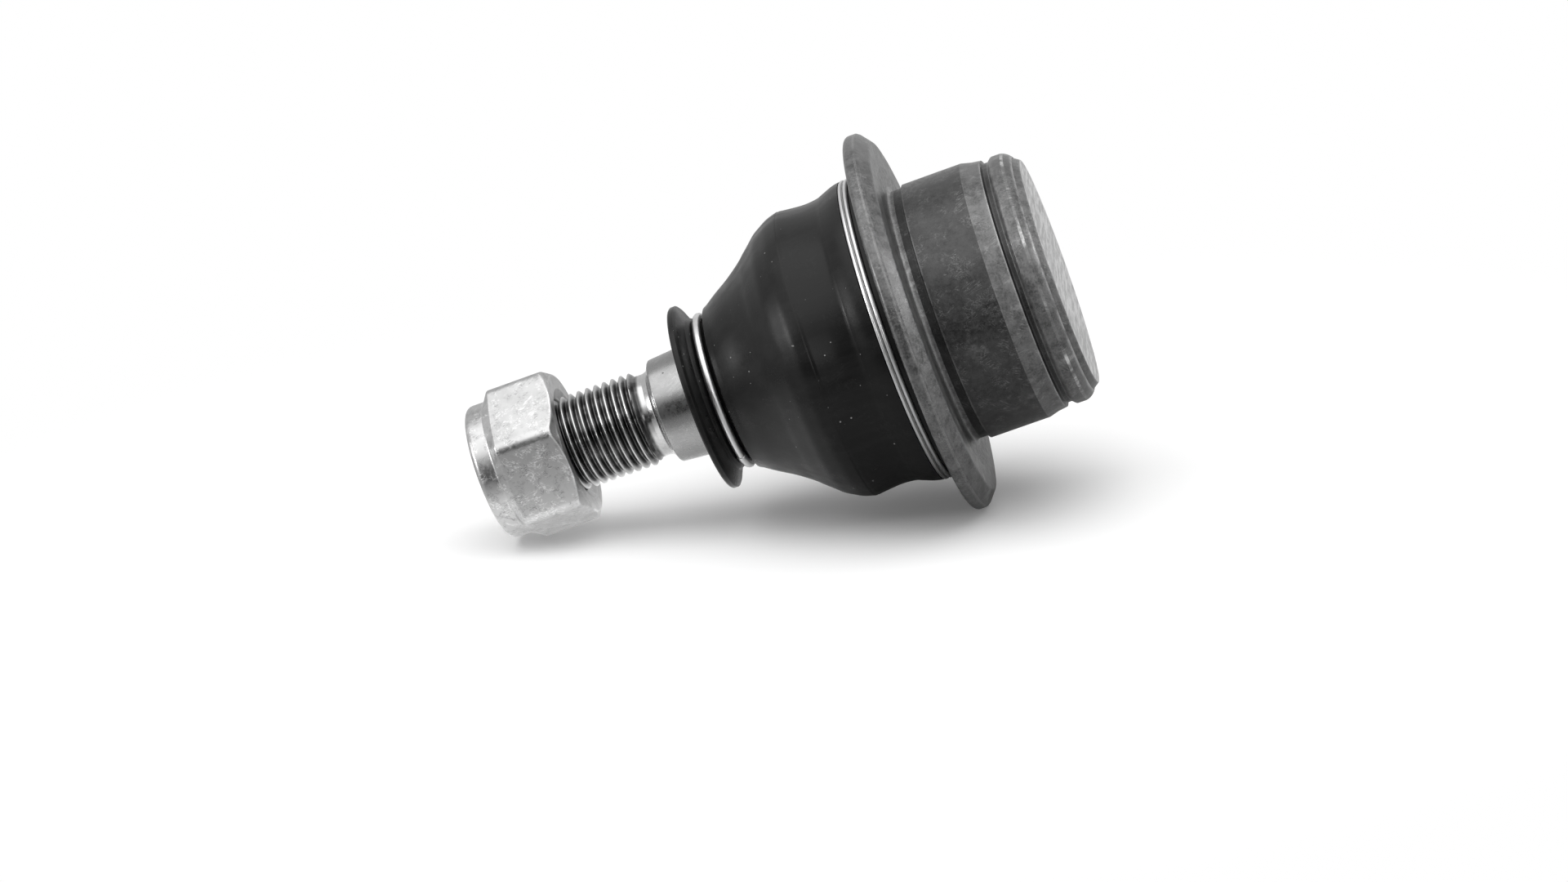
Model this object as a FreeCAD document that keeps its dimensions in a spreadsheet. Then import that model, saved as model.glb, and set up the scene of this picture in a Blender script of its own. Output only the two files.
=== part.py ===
import FreeCAD, Part
import math
import os

import Sketcher

# Suspension ball joint, pressed into a control arm up to its flange.
# Millimetres, with +Z along the stud from the ball towards the nut and the origin at the ball's centre.
# Heights are counted from the ball's centre: the housing hangs below it and the stud stands above it.

SIZES = {
    # ball, and the clearances of what runs on it
    "ball_radius": 14.0,
    "ball_flat_cut": 1.0,
    "seat_clearance": 0.05,
    "fitting_gap": 0.05,
    # stud, from the ball upwards
    "neck_radius": 7.5,
    "neck_fillet": 1.5,
    "neck_length": 18.0,
    "cone_length": 19.0,
    "boot_seat_radius": 9.45,
    "boot_seat_length": 6.2,
    "taper_length": 7.0,
    "taper_run_per_radius": 12.0,
    "shoulder_length": 0.9,
    "undercut_depth": 0.9,
    "undercut_length": 2.2,
    "undercut_fillet": 0.5,
    "thread_radius": 8.0,
    "thread_length": 27.0,
    "thread_lead": 0.5,
    "thread_end_chamfer": 1.2,
    # lock nut and the ring of nylon that grips the thread
    "nut_gap": 13.1,
    "nut_flats": 24.0,
    "nut_hex_height": 11.9,
    "nut_corner_radius": 2.2,
    "nut_chamfer_rise": 1.2,
    "nut_chamfer_reach": 1.9,
    "nut_clock_angle": 14.0,
    "nut_mouth": 0.8,
    "collar_step": 0.44,
    "collar_height": 3.5,
    "collar_round": 1.6,
    "collar_wall": 1.5,
    "collar_lip": 0.8,
    "collar_lip_reach": 0.86,
    "insert_height": 2.8,
    "thread_clearance": 0.05,
    # housing, outside, from the flange's seat downwards and then upwards
    "flange_seat_height": 3.0,
    "flange_thickness": 4.0,
    "flange_radius": 32.5,
    "flange_bevel_reach": 2.2,
    "flange_bevel_height": 1.8,
    "flange_round": 1.4,
    "relief_depth": 0.5,
    "relief_length": 2.4,
    "relief_fillet": 0.8,
    "land_radius": 22.0,
    "land_length": 10.94,
    "bevel_length": 1.26,
    "skirt_step": 0.62,
    "skirt_length": 1.2,
    "groove_depth": 1.25,
    "groove_slope": 0.6,
    "groove_length": 1.0,
    "roll_step": 0.6,
    "roll_wall": 1.05,
    "roll_length": 3.26,
    "roll_shoulder_round": 0.4,
    "roll_round": 1.1,
    "neck_groove_radius": 22.6,
    "neck_groove_height": 3.6,
    "neck_lip_step": 0.8,
    "neck_lip_height": 2.2,
    "neck_lip_chamfer": 0.8,
    # housing, inside
    "throat_grip": 0.8,
    "throat_length": 1.75,
    "mouth_flare": 2.4,
    "bore_top": 3.0,
    # bearings
    "bearing_wall": 3.95,
    "bearing_top": 6.6,
    "bearing_lip": 1.5,
    "bearing_split": 1.0,
    "bearing_gap": 0.3,
    "bearing_opening": 6.0,
    "channel_radius": 0.7,
    "channel_offset": 0.175,
    "channel_count": 3,
    # disc spring
    "spring_room": 1.0,
    "spring_width": 8.0,
    "spring_thickness": 1.1,
    "spring_height": 2.5,
    # cover plate
    "cover_thickness": 3.0,
    "cover_rim_height": 1.3,
    "cover_bevel_reach": 0.6,
    "roll_lip_gap": 0.25,
    "cover_step": 0.74,
    "cover_edge": 0.25,
    # dust boot, heights above the flange and then above the start of its seat on the stud
    "boot_wall": 2.0,
    "boot_gap": 0.08,
    "boot_bead_thickness": 2.47,
    "boot_foot_lip": 0.45,
    "boot_foot_height": 1.4,
    "boot_bead_lip": 0.75,
    "boot_waist_inset": 0.81,
    "boot_waist_height": 9.8,
    "boot_waist_curve": 9.7,
    "boot_waist_reach": 3.1,
    "boot_waist_end_rise": 1.55,
    "boot_waist_end_swell": 0.166667,
    "boot_crease_swell": 0.42,
    "boot_crease_height": 14.4,
    "boot_crown_curve": 6.7,
    "boot_crown_reach": 4.4,
    "boot_inner_crown_reach": 3.102,
    "boot_knee_reach": 3.22,
    "boot_knee_drop": 4.0,
    "boot_knee_wall_reach": 1.6,
    "boot_knee_wall_drop": 1.2,
    "boot_shoulder_reach": 1.03,
    "boot_shoulder_rise": 1.4,
    "boot_shoulder_wall": 1.0,
    "boot_collar_wall": 3.42,
    "ring_seat_rise": 2.85,
    "ring_seat_half_width": 1.15,
    "ring_seat_curve": 1.17,
    "lip_foot_reach": 0.35,
    "lip_foot_rise": 4.65,
    "lip_reach": 2.89,
    "lip_rise": 5.86,
    "lip_edge": 1.04,
    "lip_top_rise": 7.2,
    # wire rings
    "large_wire": 0.8,
    "large_ring_pitch": 0.83,
    "crossover_angle": 30.0,
    "large_ring_clock_angle": 105.0,
    "small_wire": 1.2,
    "small_ring_sink": 0.1,
    "sleeve_wire": 1.6,
    "sleeve_angle": 32.0,
    "sleeve_clock_angle": 180.0,
}

DOCUMENT = FreeCAD.newDocument("suspension_ball_joint")
SHEET = DOCUMENT.addObject("Spreadsheet::Sheet", "sizes")


class Size:
    """A length that carries its number and the sheet expression it comes from."""

    def __init__(self, number, words):
        self.number = float(number)
        self.words = words

    def joined(self, other, sign, number):
        other_words = other.words if isinstance(other, Size) else repr(float(other))
        return Size(number, f"({self.words} {sign} {other_words})")

    def __add__(self, other):
        return self.joined(other, "+", self.number + number_of(other))

    def __sub__(self, other):
        return self.joined(other, "-", self.number - number_of(other))

    def __mul__(self, other):
        return self.joined(other, "*", self.number * number_of(other))

    def __truediv__(self, other):
        return self.joined(other, "/", self.number / number_of(other))

    def __neg__(self):
        return Size(-self.number, f"(0 - {self.words})")

    def leg(self, other):
        """The other leg of a right triangle with this hypotenuse."""
        number = math.sqrt(self.number**2 - other.number**2)
        return Size(number, f"sqrt({self.words} ^ 2 - {other.words} ^ 2)")


FULL_TURN = Size(360, "360")


class Sizes:
    """The driving dimensions, one sheet cell each, read by their names."""

    def __init__(self, numbers):
        for row, (name, number) in enumerate(numbers.items(), start=1):
            SHEET.set(f"A{row}", str(number))
            SHEET.setAlias(f"A{row}", name)
            setattr(self, name, Size(number, f"sizes.{name}"))
        DOCUMENT.recompute()


def number_of(value):
    return value.number if isinstance(value, Size) else float(value)


def bind(thing, property_name, size):
    """Sets a property to a size and keeps it tied to the sheet."""
    thing.setExpression(property_name, size.words)


def new_body(name):
    body = DOCUMENT.addObject("PartDesign::Body", name)
    body.Label = name
    return body


def origin_part(body, role):
    return next(f for f in body.Origin.OriginFeatures if f.Role == role)


def new_sketch(body, name, plane):
    sketch = body.newObject("Sketcher::SketchObject", name)
    sketch.AttachmentSupport = [(origin_part(body, plane), "")]
    sketch.MapMode = "FlatFace"
    return sketch


def constrain(sketch, kind, places, size):
    """Adds one dimension to a sketch and ties it to the sheet."""
    index = sketch.addConstraint(Sketcher.Constraint(kind, *places, size.number))
    bind(sketch, f"Constraints[{index}]", size)


def place_point(sketch, edge, end, across, up):
    """Fixes a point of a sketch at its distances from the sketch's origin."""
    if number_of(across) == 0:
        sketch.addConstraint(Sketcher.Constraint("PointOnObject", edge, end, -2))
    else:
        constrain(sketch, "DistanceX", (-1, 1, edge, end), across)
    if number_of(up) == 0:
        sketch.addConstraint(Sketcher.Constraint("PointOnObject", edge, end, -1))
    else:
        constrain(sketch, "DistanceY", (-1, 1, edge, end), up)


def arc_between(start, finish, radius, turns_left):
    """The shorter arc between two points, turning left or right on its way."""
    middle = (start + finish) * 0.5
    half = (finish - start) * 0.5
    sagitta = math.sqrt(max(radius**2 - half.Length**2, 0.0))
    side = FreeCAD.Vector(-half.y, half.x, 0).normalize()
    centre = middle + side * (sagitta if turns_left else -sagitta)
    first, last = (start, finish) if turns_left else (finish, start)
    angles = [math.atan2(p.y - centre.y, p.x - centre.x) for p in (first, last)]
    circle = Part.Circle(centre, FreeCAD.Vector(0, 0, 1), radius)
    return Part.ArcOfCircle(circle, *angles)


def outline(body, name, corners, plane="XZ_Plane"):
    """A closed sketch through corners, each (across, up), joined by lines.

    A corner that an arc leads on from is (across, up, radius, "left" or "right").
    """
    sketch = new_sketch(body, name, plane)
    points = [FreeCAD.Vector(number_of(c[0]), number_of(c[1]), 0) for c in corners]
    ends = []
    for index, corner in enumerate(corners):
        start, finish = points[index], points[(index + 1) % len(points)]
        if len(corner) == 2:
            edge = sketch.addGeometry(Part.LineSegment(start, finish))
            ends.append((edge, 1, 2))
            continue
        turns_left = corner[3] == "left"
        arc = arc_between(start, finish, corner[2].number, turns_left)
        edge = sketch.addGeometry(arc)
        ends.append((edge, 1, 2) if turns_left else (edge, 2, 1))
    for index, (edge, _, last) in enumerate(ends):
        following, first, _ = ends[(index + 1) % len(ends)]
        sketch.addConstraint(Sketcher.Constraint("Coincident", edge, last, following, first))
    for (edge, first, _), corner in zip(ends, corners):
        place_point(sketch, edge, first, corner[0], corner[1])
        if len(corner) == 4:
            constrain(sketch, "Radius", (edge,), corner[2])
    DOCUMENT.recompute()
    return sketch


def circle_sketch(body, name, across, up, radius, plane="XZ_Plane"):
    """A sketch of one circle."""
    sketch = new_sketch(body, name, plane)
    centre = FreeCAD.Vector(number_of(across), number_of(up), 0)
    sketch.addGeometry(Part.Circle(centre, FreeCAD.Vector(0, 0, 1), radius.number))
    place_point(sketch, 0, 3, across, up)
    constrain(sketch, "Radius", (0,), radius)
    DOCUMENT.recompute()
    return sketch


def turned(body, sketch, name, kind="PartDesign::Revolution", angle=FULL_TURN):
    """A sketch turned around its own upright axis, added or cut."""
    before = body.Tip.Shape.Volume if body.Tip else 0.0
    feature = body.newObject(kind, name)
    feature.Profile = sketch
    feature.ReferenceAxis = (sketch, ["V_Axis"])
    bind(feature, "Angle", angle)
    DOCUMENT.recompute()
    gained = feature.Shape.Volume - before
    if gained * (-1 if kind.endswith("Groove") else 1) < 1e-3:
        raise RuntimeError(f"{name} changes nothing")
    return feature


def rim_edges(feature, radius, height):
    """Names of a shape's round edges with this radius at this height."""
    found = []
    for index, edge in enumerate(feature.Shape.Edges, start=1):
        curve = edge.Curve
        if not isinstance(curve, Part.Circle):
            continue
        level = abs(curve.Center.z - height.number) < 1e-4
        if level and abs(curve.Radius - radius.number) < 1e-4:
            found.append(f"Edge{index}")
    if not found:
        raise RuntimeError(f"no round edge of radius {radius.number} at {height.number}")
    return found


def dressed(body, base, name, kind, edges, size):
    """A fillet or chamfer on named edges of the last feature."""
    feature = body.newObject(kind, name)
    feature.Base = (base, edges)
    bind(feature, "Radius" if kind.endswith("Fillet") else "Size", size)
    DOCUMENT.recompute()
    return feature


def turned_about_stud(body, angle):
    """Turns a whole body about the stud's axis by an angle kept in the sheet."""
    body.Placement.Rotation = FreeCAD.Rotation(FreeCAD.Vector(0, 0, 1), angle.number)
    bind(body, "Placement.Rotation.Angle", angle)


d = Sizes(SIZES)

# Radii that several pieces share

ball_seat_radius = d.ball_radius + d.seat_clearance
bore_radius = ball_seat_radius + d.bearing_wall
throat_radius = d.ball_radius - d.throat_grip
undercut_radius = d.thread_radius - d.undercut_depth
collar_radius = d.nut_flats / 2 - d.collar_step
collar_pocket_radius = collar_radius - d.collar_wall
roll_radius = d.land_radius - d.roll_step
cover_bore_radius = roll_radius - d.roll_wall
cover_radius = cover_bore_radius - d.fitting_gap
cover_face_radius = cover_radius - d.cover_bevel_reach
neck_lip_radius = d.neck_groove_radius + d.neck_lip_step
bead_hole_radius = d.neck_groove_radius + d.boot_gap
bead_floor_radius = bead_hole_radius + d.boot_bead_thickness
large_ring_radius = bead_floor_radius + d.fitting_gap + d.large_wire / 2
collar_hole_radius = d.boot_seat_radius + d.boot_gap
ring_seat_radius = collar_hole_radius + d.boot_collar_wall
small_ring_radius = ring_seat_radius - d.small_ring_sink

# Heights that several pieces share

seat_bottom = d.neck_length + d.cone_length
taper_bottom = seat_bottom + d.boot_seat_length
taper_top = taper_bottom + d.taper_length
taper_top_radius = d.boot_seat_radius - d.taper_length / d.taper_run_per_radius
undercut_bottom = taper_top + d.shoulder_length
undercut_top = undercut_bottom + d.undercut_length
thread_end = undercut_top + d.thread_length
nut_bottom = undercut_top + d.nut_gap
nut_shoulder = nut_bottom + d.nut_hex_height
nut_top = nut_shoulder + d.collar_height
insert_pocket_top = nut_top - d.collar_lip
flange_top = d.flange_seat_height + d.flange_thickness
neck_top = flange_top + d.neck_groove_height + d.neck_lip_height
land_top = d.flange_seat_height - d.relief_length
land_bottom = land_top - d.land_length
skirt_top = land_bottom - d.bevel_length
skirt_bottom = skirt_top - d.skirt_length
groove_top = skirt_bottom - d.groove_slope
groove_bottom = groove_top - d.groove_length
roll_top = groove_bottom - d.groove_slope
roll_bottom = roll_top - d.roll_length
cover_face = roll_bottom - d.cover_step
cover_seat = cover_face + d.cover_thickness
bearing_bottom = cover_seat + d.spring_height + d.fitting_gap * 2
boot_foot_top = flange_top + d.boot_gap + d.boot_foot_height
first_strand = boot_foot_top + d.fitting_gap + d.large_wire / 2
second_strand = first_strand + d.large_ring_pitch


def make_ball_stud():
    body = new_body("ball_stud")
    ball_flat = d.ball_radius - d.ball_flat_cut
    outline_sketch = outline(
        body,
        "stud_outline",
        [
            (0, -ball_flat),
            (d.ball_radius.leg(ball_flat), -ball_flat, d.ball_radius, "left"),
            (d.ball_radius, 0, d.ball_radius, "left"),
            (d.neck_radius, d.ball_radius.leg(d.neck_radius)),
            (d.neck_radius, d.neck_length),
            (d.boot_seat_radius, seat_bottom),
            (d.boot_seat_radius, taper_bottom),
            (taper_top_radius, taper_top),
            (undercut_radius, undercut_bottom),
            (undercut_radius, undercut_top),
            (d.thread_radius, undercut_top + d.thread_lead),
            (d.thread_radius, thread_end - d.thread_end_chamfer),
            (d.thread_radius - d.thread_end_chamfer, thread_end),
            (0, thread_end),
        ],
    )
    stud = turned(body, outline_sketch, "stud_turned")
    junction = rim_edges(stud, d.neck_radius, d.ball_radius.leg(d.neck_radius))
    neck = dressed(body, stud, "neck_fillet", "PartDesign::Fillet", junction, d.neck_fillet)
    corner = rim_edges(neck, undercut_radius, undercut_bottom)
    dressed(body, neck, "undercut_fillet", "PartDesign::Fillet", corner, d.undercut_fillet)
    return body


def make_housing():
    body = new_body("housing")
    flange_rim_bottom = d.flange_seat_height + d.flange_bevel_height
    relief_radius = d.land_radius - d.relief_depth
    throat_bottom = d.bearing_top + d.fitting_gap
    shoulder_radius = ball_seat_radius.leg(d.bearing_top) + d.bearing_lip + d.fitting_gap
    cover_rim_bottom = cover_seat - d.cover_rim_height
    forging = outline(
        body,
        "housing_outline",
        [
            (bore_radius, cover_seat),
            (cover_bore_radius, cover_seat),
            (cover_bore_radius, cover_rim_bottom),
            (cover_face_radius + d.roll_lip_gap, roll_bottom),
            (roll_radius, roll_bottom),
            (roll_radius, roll_top),
            (d.land_radius - d.groove_depth, groove_bottom),
            (d.land_radius - d.groove_depth, groove_top),
            (d.land_radius - d.skirt_step, skirt_bottom),
            (d.land_radius - d.skirt_step, skirt_top),
            (d.land_radius, land_bottom),
            (d.land_radius, land_top),
            (relief_radius, land_top),
            (relief_radius, d.flange_seat_height),
            (d.flange_radius - d.flange_bevel_reach, d.flange_seat_height),
            (d.flange_radius, flange_rim_bottom),
            (d.flange_radius, flange_top),
            (neck_lip_radius, flange_top),
            (neck_lip_radius, neck_top),
            (throat_radius + d.mouth_flare, neck_top),
            (throat_radius, throat_bottom + d.throat_length),
            (throat_radius, throat_bottom),
            (shoulder_radius, throat_bottom),
            (bore_radius, d.bore_top),
        ],
    )
    blank = turned(body, forging, "housing_turned")
    groove_top_edge = flange_top + d.neck_groove_height
    boot_groove = outline(
        body,
        "boot_groove_outline",
        [
            (d.neck_groove_radius, flange_top),
            (neck_lip_radius + d.fitting_gap, flange_top),
            (neck_lip_radius + d.fitting_gap, groove_top_edge),
            (d.neck_groove_radius, groove_top_edge),
        ],
    )
    grooved = turned(body, boot_groove, "boot_groove", "PartDesign::Groove")
    rim = rim_edges(grooved, d.flange_radius, flange_top)
    rounded = dressed(body, grooved, "flange_round", "PartDesign::Fillet", rim, d.flange_round)
    lip = rim_edges(rounded, neck_lip_radius, neck_top)
    bevelled = dressed(body, rounded, "neck_bevel", "PartDesign::Chamfer", lip, d.neck_lip_chamfer)
    root = rim_edges(bevelled, relief_radius, d.flange_seat_height)
    relieved = dressed(body, bevelled, "relief_fillet", "PartDesign::Fillet", root, d.relief_fillet)
    roll = rim_edges(relieved, roll_radius, roll_bottom)
    rolled = dressed(body, relieved, "swaged_roll", "PartDesign::Fillet", roll, d.roll_round)
    crest = rim_edges(rolled, roll_radius, roll_top)
    dressed(body, rolled, "roll_shoulder", "PartDesign::Fillet", crest, d.roll_shoulder_round)
    return body


def cut_ball_seat(body):
    """Hollows a bearing to the ball and cuts grease channels over the seat, two for each ring."""
    hollow = outline(
        body,
        "ball_seat_outline",
        [
            (0, -ball_seat_radius, ball_seat_radius, "left"),
            (ball_seat_radius, 0, ball_seat_radius, "left"),
            (0, ball_seat_radius),
        ],
    )
    turned(body, hollow, "ball_seat", "PartDesign::Groove")
    reach = ball_seat_radius + d.channel_offset
    profile = circle_sketch(body, "channel_outline", reach, 0, d.channel_radius, "XY_Plane")
    channel = turned(body, profile, "grease_channel", "PartDesign::Groove")
    pattern = body.newObject("PartDesign::PolarPattern", "grease_channels")
    pattern.Originals = [channel]
    pattern.Axis = (origin_part(body, "Z_Axis"), [""])
    pattern.Angle = FULL_TURN.number
    bind(pattern, "Occurrences", d.channel_count)
    body.Tip = pattern
    DOCUMENT.recompute()


def make_upper_bearing():
    body = new_body("upper_bearing")
    split = -d.bearing_split
    shell_radius = bore_radius - d.fitting_gap
    mouth = ball_seat_radius.leg(d.bearing_top)
    section = outline(
        body,
        "upper_bearing_outline",
        [
            (mouth - d.bearing_lip, split),
            (shell_radius, split),
            (shell_radius, d.bore_top - d.fitting_gap),
            (mouth + d.bearing_lip, d.bearing_top),
            (mouth - d.bearing_lip, d.bearing_top),
        ],
    )
    turned(body, section, "upper_bearing_turned")
    cut_ball_seat(body)
    return body


def make_lower_bearing():
    body = new_body("lower_bearing")
    rim = -(d.bearing_split + d.bearing_gap)
    shell_radius = bore_radius - d.fitting_gap
    section = outline(
        body,
        "lower_bearing_outline",
        [
            (d.bearing_opening, bearing_bottom),
            (shell_radius, bearing_bottom),
            (shell_radius, rim),
            (d.bearing_opening, rim),
        ],
    )
    turned(body, section, "lower_bearing_turned")
    cut_ball_seat(body)
    return body


def make_preload_spring():
    body = new_body("preload_spring")
    bottom = cover_seat + d.fitting_gap
    top = bottom + d.spring_height
    outer_radius = bore_radius - d.spring_room
    section = outline(
        body,
        "spring_outline",
        [
            (outer_radius, bottom),
            (outer_radius, bottom + d.spring_thickness),
            (outer_radius - d.spring_width, top),
            (outer_radius - d.spring_width, top - d.spring_thickness),
        ],
    )
    turned(body, section, "spring_turned")
    return body


def make_cover_plate():
    body = new_body("cover_plate")
    inner_face = cover_seat - d.fitting_gap
    section = outline(
        body,
        "cover_outline",
        [
            (0, cover_face),
            (cover_face_radius, cover_face),
            (cover_face_radius, roll_bottom),
            (cover_radius, cover_seat - d.cover_rim_height),
            (cover_radius, inner_face),
            (0, inner_face),
        ],
    )
    plate = turned(body, section, "cover_turned")
    edge = rim_edges(plate, cover_face_radius, cover_face)
    dressed(body, plate, "cover_edge", "PartDesign::Fillet", edge, d.cover_edge)
    return body


def make_dust_boot():
    body = new_body("dust_boot")
    foot = flange_top + d.boot_gap
    ring_top = second_strand + d.large_wire / 2 + d.fitting_gap
    waist_radius = bead_floor_radius - d.boot_waist_inset
    crease_radius = waist_radius + d.boot_crease_swell
    shoulder_radius = ring_seat_radius + d.boot_shoulder_reach
    knee_radius = shoulder_radius + d.boot_knee_reach
    lip_radius = ring_seat_radius + d.lip_reach
    waist = flange_top + d.boot_waist_height
    waist_foot = waist - d.boot_waist_reach
    curve_leg = d.boot_waist_curve.leg(d.boot_waist_reach)
    waist_foot_radius = waist_radius + d.boot_waist_curve - curve_leg
    crease = flange_top + d.boot_crease_height
    crown = crease + d.boot_crown_reach
    crown_leg = d.boot_crown_curve.leg(d.boot_crown_reach)
    crown_radius = crease_radius - d.boot_crown_curve + crown_leg
    knee = seat_bottom - d.boot_knee_drop
    shoulder = seat_bottom + d.boot_shoulder_rise
    ring_seat = seat_bottom + d.ring_seat_rise
    lip_hole = neck_lip_radius + d.boot_gap
    step = flange_top + d.neck_groove_height - d.boot_gap
    inner_crown_curve = d.boot_crown_curve - d.boot_wall
    inner_crown_leg = inner_crown_curve.leg(d.boot_inner_crown_reach)
    section = outline(
        body,
        "boot_outline",
        [
            (bead_hole_radius, foot),
            (bead_floor_radius + d.boot_foot_lip, foot),
            (bead_floor_radius + d.boot_foot_lip, boot_foot_top),
            (bead_floor_radius, boot_foot_top),
            (bead_floor_radius, ring_top),
            (bead_floor_radius + d.boot_bead_lip, ring_top),
            (waist_foot_radius, waist_foot, d.boot_waist_curve, "right"),
            (waist_radius, waist, d.boot_waist_curve, "right"),
            (waist_radius + d.boot_waist_end_swell, waist + d.boot_waist_end_rise),
            (crease_radius, crease, d.boot_crown_curve, "left"),
            (crown_radius, crown),
            (knee_radius, knee),
            (shoulder_radius, shoulder),
            (ring_seat_radius, ring_seat - d.ring_seat_half_width, d.ring_seat_curve, "right"),
            (ring_seat_radius, ring_seat + d.ring_seat_half_width),
            (ring_seat_radius + d.lip_foot_reach, seat_bottom + d.lip_foot_rise),
            (lip_radius, seat_bottom + d.lip_rise),
            (lip_radius, seat_bottom + d.lip_rise + d.lip_edge),
            (collar_hole_radius, seat_bottom + d.lip_top_rise),
            (collar_hole_radius, seat_bottom + d.boot_gap),
            (shoulder_radius - d.boot_shoulder_wall, seat_bottom - d.boot_shoulder_wall),
            (knee_radius - d.boot_knee_wall_reach, knee - d.boot_knee_wall_drop),
            (
                crease_radius - d.boot_wall - inner_crown_curve + inner_crown_leg,
                crease + d.boot_inner_crown_reach,
                inner_crown_curve,
                "right",
            ),
            (crease_radius - d.boot_wall, crease),
            (waist_radius - d.boot_wall, waist),
            (waist_foot_radius - d.boot_wall, waist_foot),
            (lip_hole, neck_top + d.boot_gap),
            (lip_hole, step),
            (bead_hole_radius, step),
        ],
    )
    turned(body, section, "boot_turned")
    return body


def make_boot_large_ring():
    """Two level turns of wire, one above the other, with a short slope from the first to the second."""
    body = new_body("boot_large_ring")
    radius = d.large_wire / 2
    strand_angle = FULL_TURN - d.crossover_angle
    lower = circle_sketch(body, "lower_wire_outline", large_ring_radius, first_strand, radius)
    turned(body, lower, "lower_strand", angle=strand_angle)
    upper = circle_sketch(body, "upper_wire_outline", large_ring_radius, second_strand, radius)
    turned(body, upper, "upper_strand", angle=strand_angle)
    crossover = body.newObject("PartDesign::AdditiveHelix", "crossover")
    crossover.Profile = upper
    crossover.ReferenceAxis = (upper, ["V_Axis"])
    crossover.Mode = "pitch-turns-angle"
    crossover.Reversed = True
    bind(crossover, "Pitch", FULL_TURN * d.large_ring_pitch / d.crossover_angle)
    bind(crossover, "Turns", d.crossover_angle / FULL_TURN.number)
    DOCUMENT.recompute()
    turned_about_stud(body, d.large_ring_clock_angle)
    return body


def make_boot_small_ring():
    body = new_body("boot_small_ring")
    level = seat_bottom + d.ring_seat_rise
    wire = circle_sketch(body, "small_wire_outline", small_ring_radius, level, d.small_wire / 2)
    turned(body, wire, "small_ring_wire")
    sleeve = circle_sketch(body, "sleeve_outline", small_ring_radius, level, d.sleeve_wire / 2)
    turned(body, sleeve, "small_ring_sleeve", angle=d.sleeve_angle)
    turned_about_stud(body, d.sleeve_clock_angle)
    return body


def make_lock_nut():
    body = new_body("lock_nut")
    corner_reach = d.nut_flats / math.sqrt(3)
    half_flats = d.nut_flats / 2
    half_side = corner_reach / 2
    corners = [
        (0, corner_reach),
        (-half_flats, half_side),
        (-half_flats, -half_side),
        (0, -corner_reach),
        (half_flats, -half_side),
        (half_flats, half_side),
    ]
    hexagon = outline(body, "nut_hexagon", corners, "XY_Plane")
    bind(hexagon, "AttachmentOffset.Base.z", nut_bottom)
    blank = body.newObject("PartDesign::Pad", "nut_blank")
    blank.Profile = hexagon
    bind(blank, "Length", d.nut_hex_height)
    DOCUMENT.recompute()
    upright = [
        f"Edge{index}"
        for index, edge in enumerate(blank.Shape.Edges, start=1)
        if edge.BoundBox.ZLength > d.nut_hex_height.number / 2
    ]
    dressed(body, blank, "nut_corners", "PartDesign::Fillet", upright, d.nut_corner_radius)
    outside = corner_reach + d.nut_chamfer_rise
    inside = corner_reach - d.nut_chamfer_reach
    rise = d.nut_chamfer_rise * (outside - inside) / d.nut_chamfer_reach
    foot = [(inside, nut_bottom), (outside, nut_bottom), (outside, nut_bottom + rise)]
    head = [(inside, nut_shoulder), (outside, nut_shoulder - rise), (outside, nut_shoulder)]
    for name, triangle in (("nut_foot", foot), ("nut_head", head)):
        bevel = outline(body, f"{name}_outline", triangle)
        turned(body, bevel, f"{name}_chamfer", "PartDesign::Groove")
    collar_section = outline(
        body,
        "collar_outline",
        [
            (0, nut_shoulder - d.collar_lip),
            (collar_radius, nut_shoulder - d.collar_lip),
            (collar_radius, nut_top),
            (0, nut_top),
        ],
    )
    collar = turned(body, collar_section, "nut_collar")
    rim = rim_edges(collar, collar_radius, nut_top)
    dressed(body, collar, "collar_round", "PartDesign::Fillet", rim, d.collar_round)
    bore = d.thread_radius + d.thread_clearance
    mouth_radius = collar_pocket_radius - d.collar_lip_reach
    insert_bottom = insert_pocket_top - d.insert_height - d.thread_clearance * 2
    bore_section = outline(
        body,
        "nut_bore_outline",
        [
            (0, nut_bottom - d.nut_mouth),
            (bore + d.nut_mouth * 2, nut_bottom - d.nut_mouth),
            (bore, nut_bottom + d.nut_mouth),
            (bore, insert_bottom),
            (collar_pocket_radius, insert_bottom),
            (collar_pocket_radius, insert_pocket_top),
            (mouth_radius, insert_pocket_top),
            (mouth_radius, nut_top + d.collar_lip),
            (0, nut_top + d.collar_lip),
        ],
    )
    turned(body, bore_section, "nut_bore", "PartDesign::Groove")
    turned_about_stud(body, d.nut_clock_angle)
    return body


def make_nylon_insert():
    body = new_body("nylon_insert")
    top = insert_pocket_top - d.thread_clearance
    bottom = top - d.insert_height
    inner = d.thread_radius + d.thread_clearance
    outer = collar_pocket_radius - d.thread_clearance
    section = outline(
        body,
        "insert_outline",
        [(inner, bottom), (outer, bottom), (outer, top), (inner, top)],
    )
    turned(body, section, "insert_turned")
    return body


MAKERS = [
    make_housing,
    make_upper_bearing,
    make_lower_bearing,
    make_preload_spring,
    make_cover_plate,
    make_dust_boot,
    make_boot_large_ring,
    make_boot_small_ring,
    make_ball_stud,
    make_lock_nut,
    make_nylon_insert,
]

pieces = [maker() for maker in MAKERS]
DOCUMENT.recompute()

# Nothing is written unless every object came out whole

for thing in DOCUMENT.Objects:
    if "Invalid" in thing.State or "Error" in thing.State:
        raise RuntimeError(f"{thing.Label} failed: {thing.State}")
for piece in pieces:
    if piece.Shape.isNull() or not piece.Shape.isValid() or len(piece.Shape.Solids) != 1:
        raise RuntimeError(f"{piece.Label} is not one sound solid")

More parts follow.
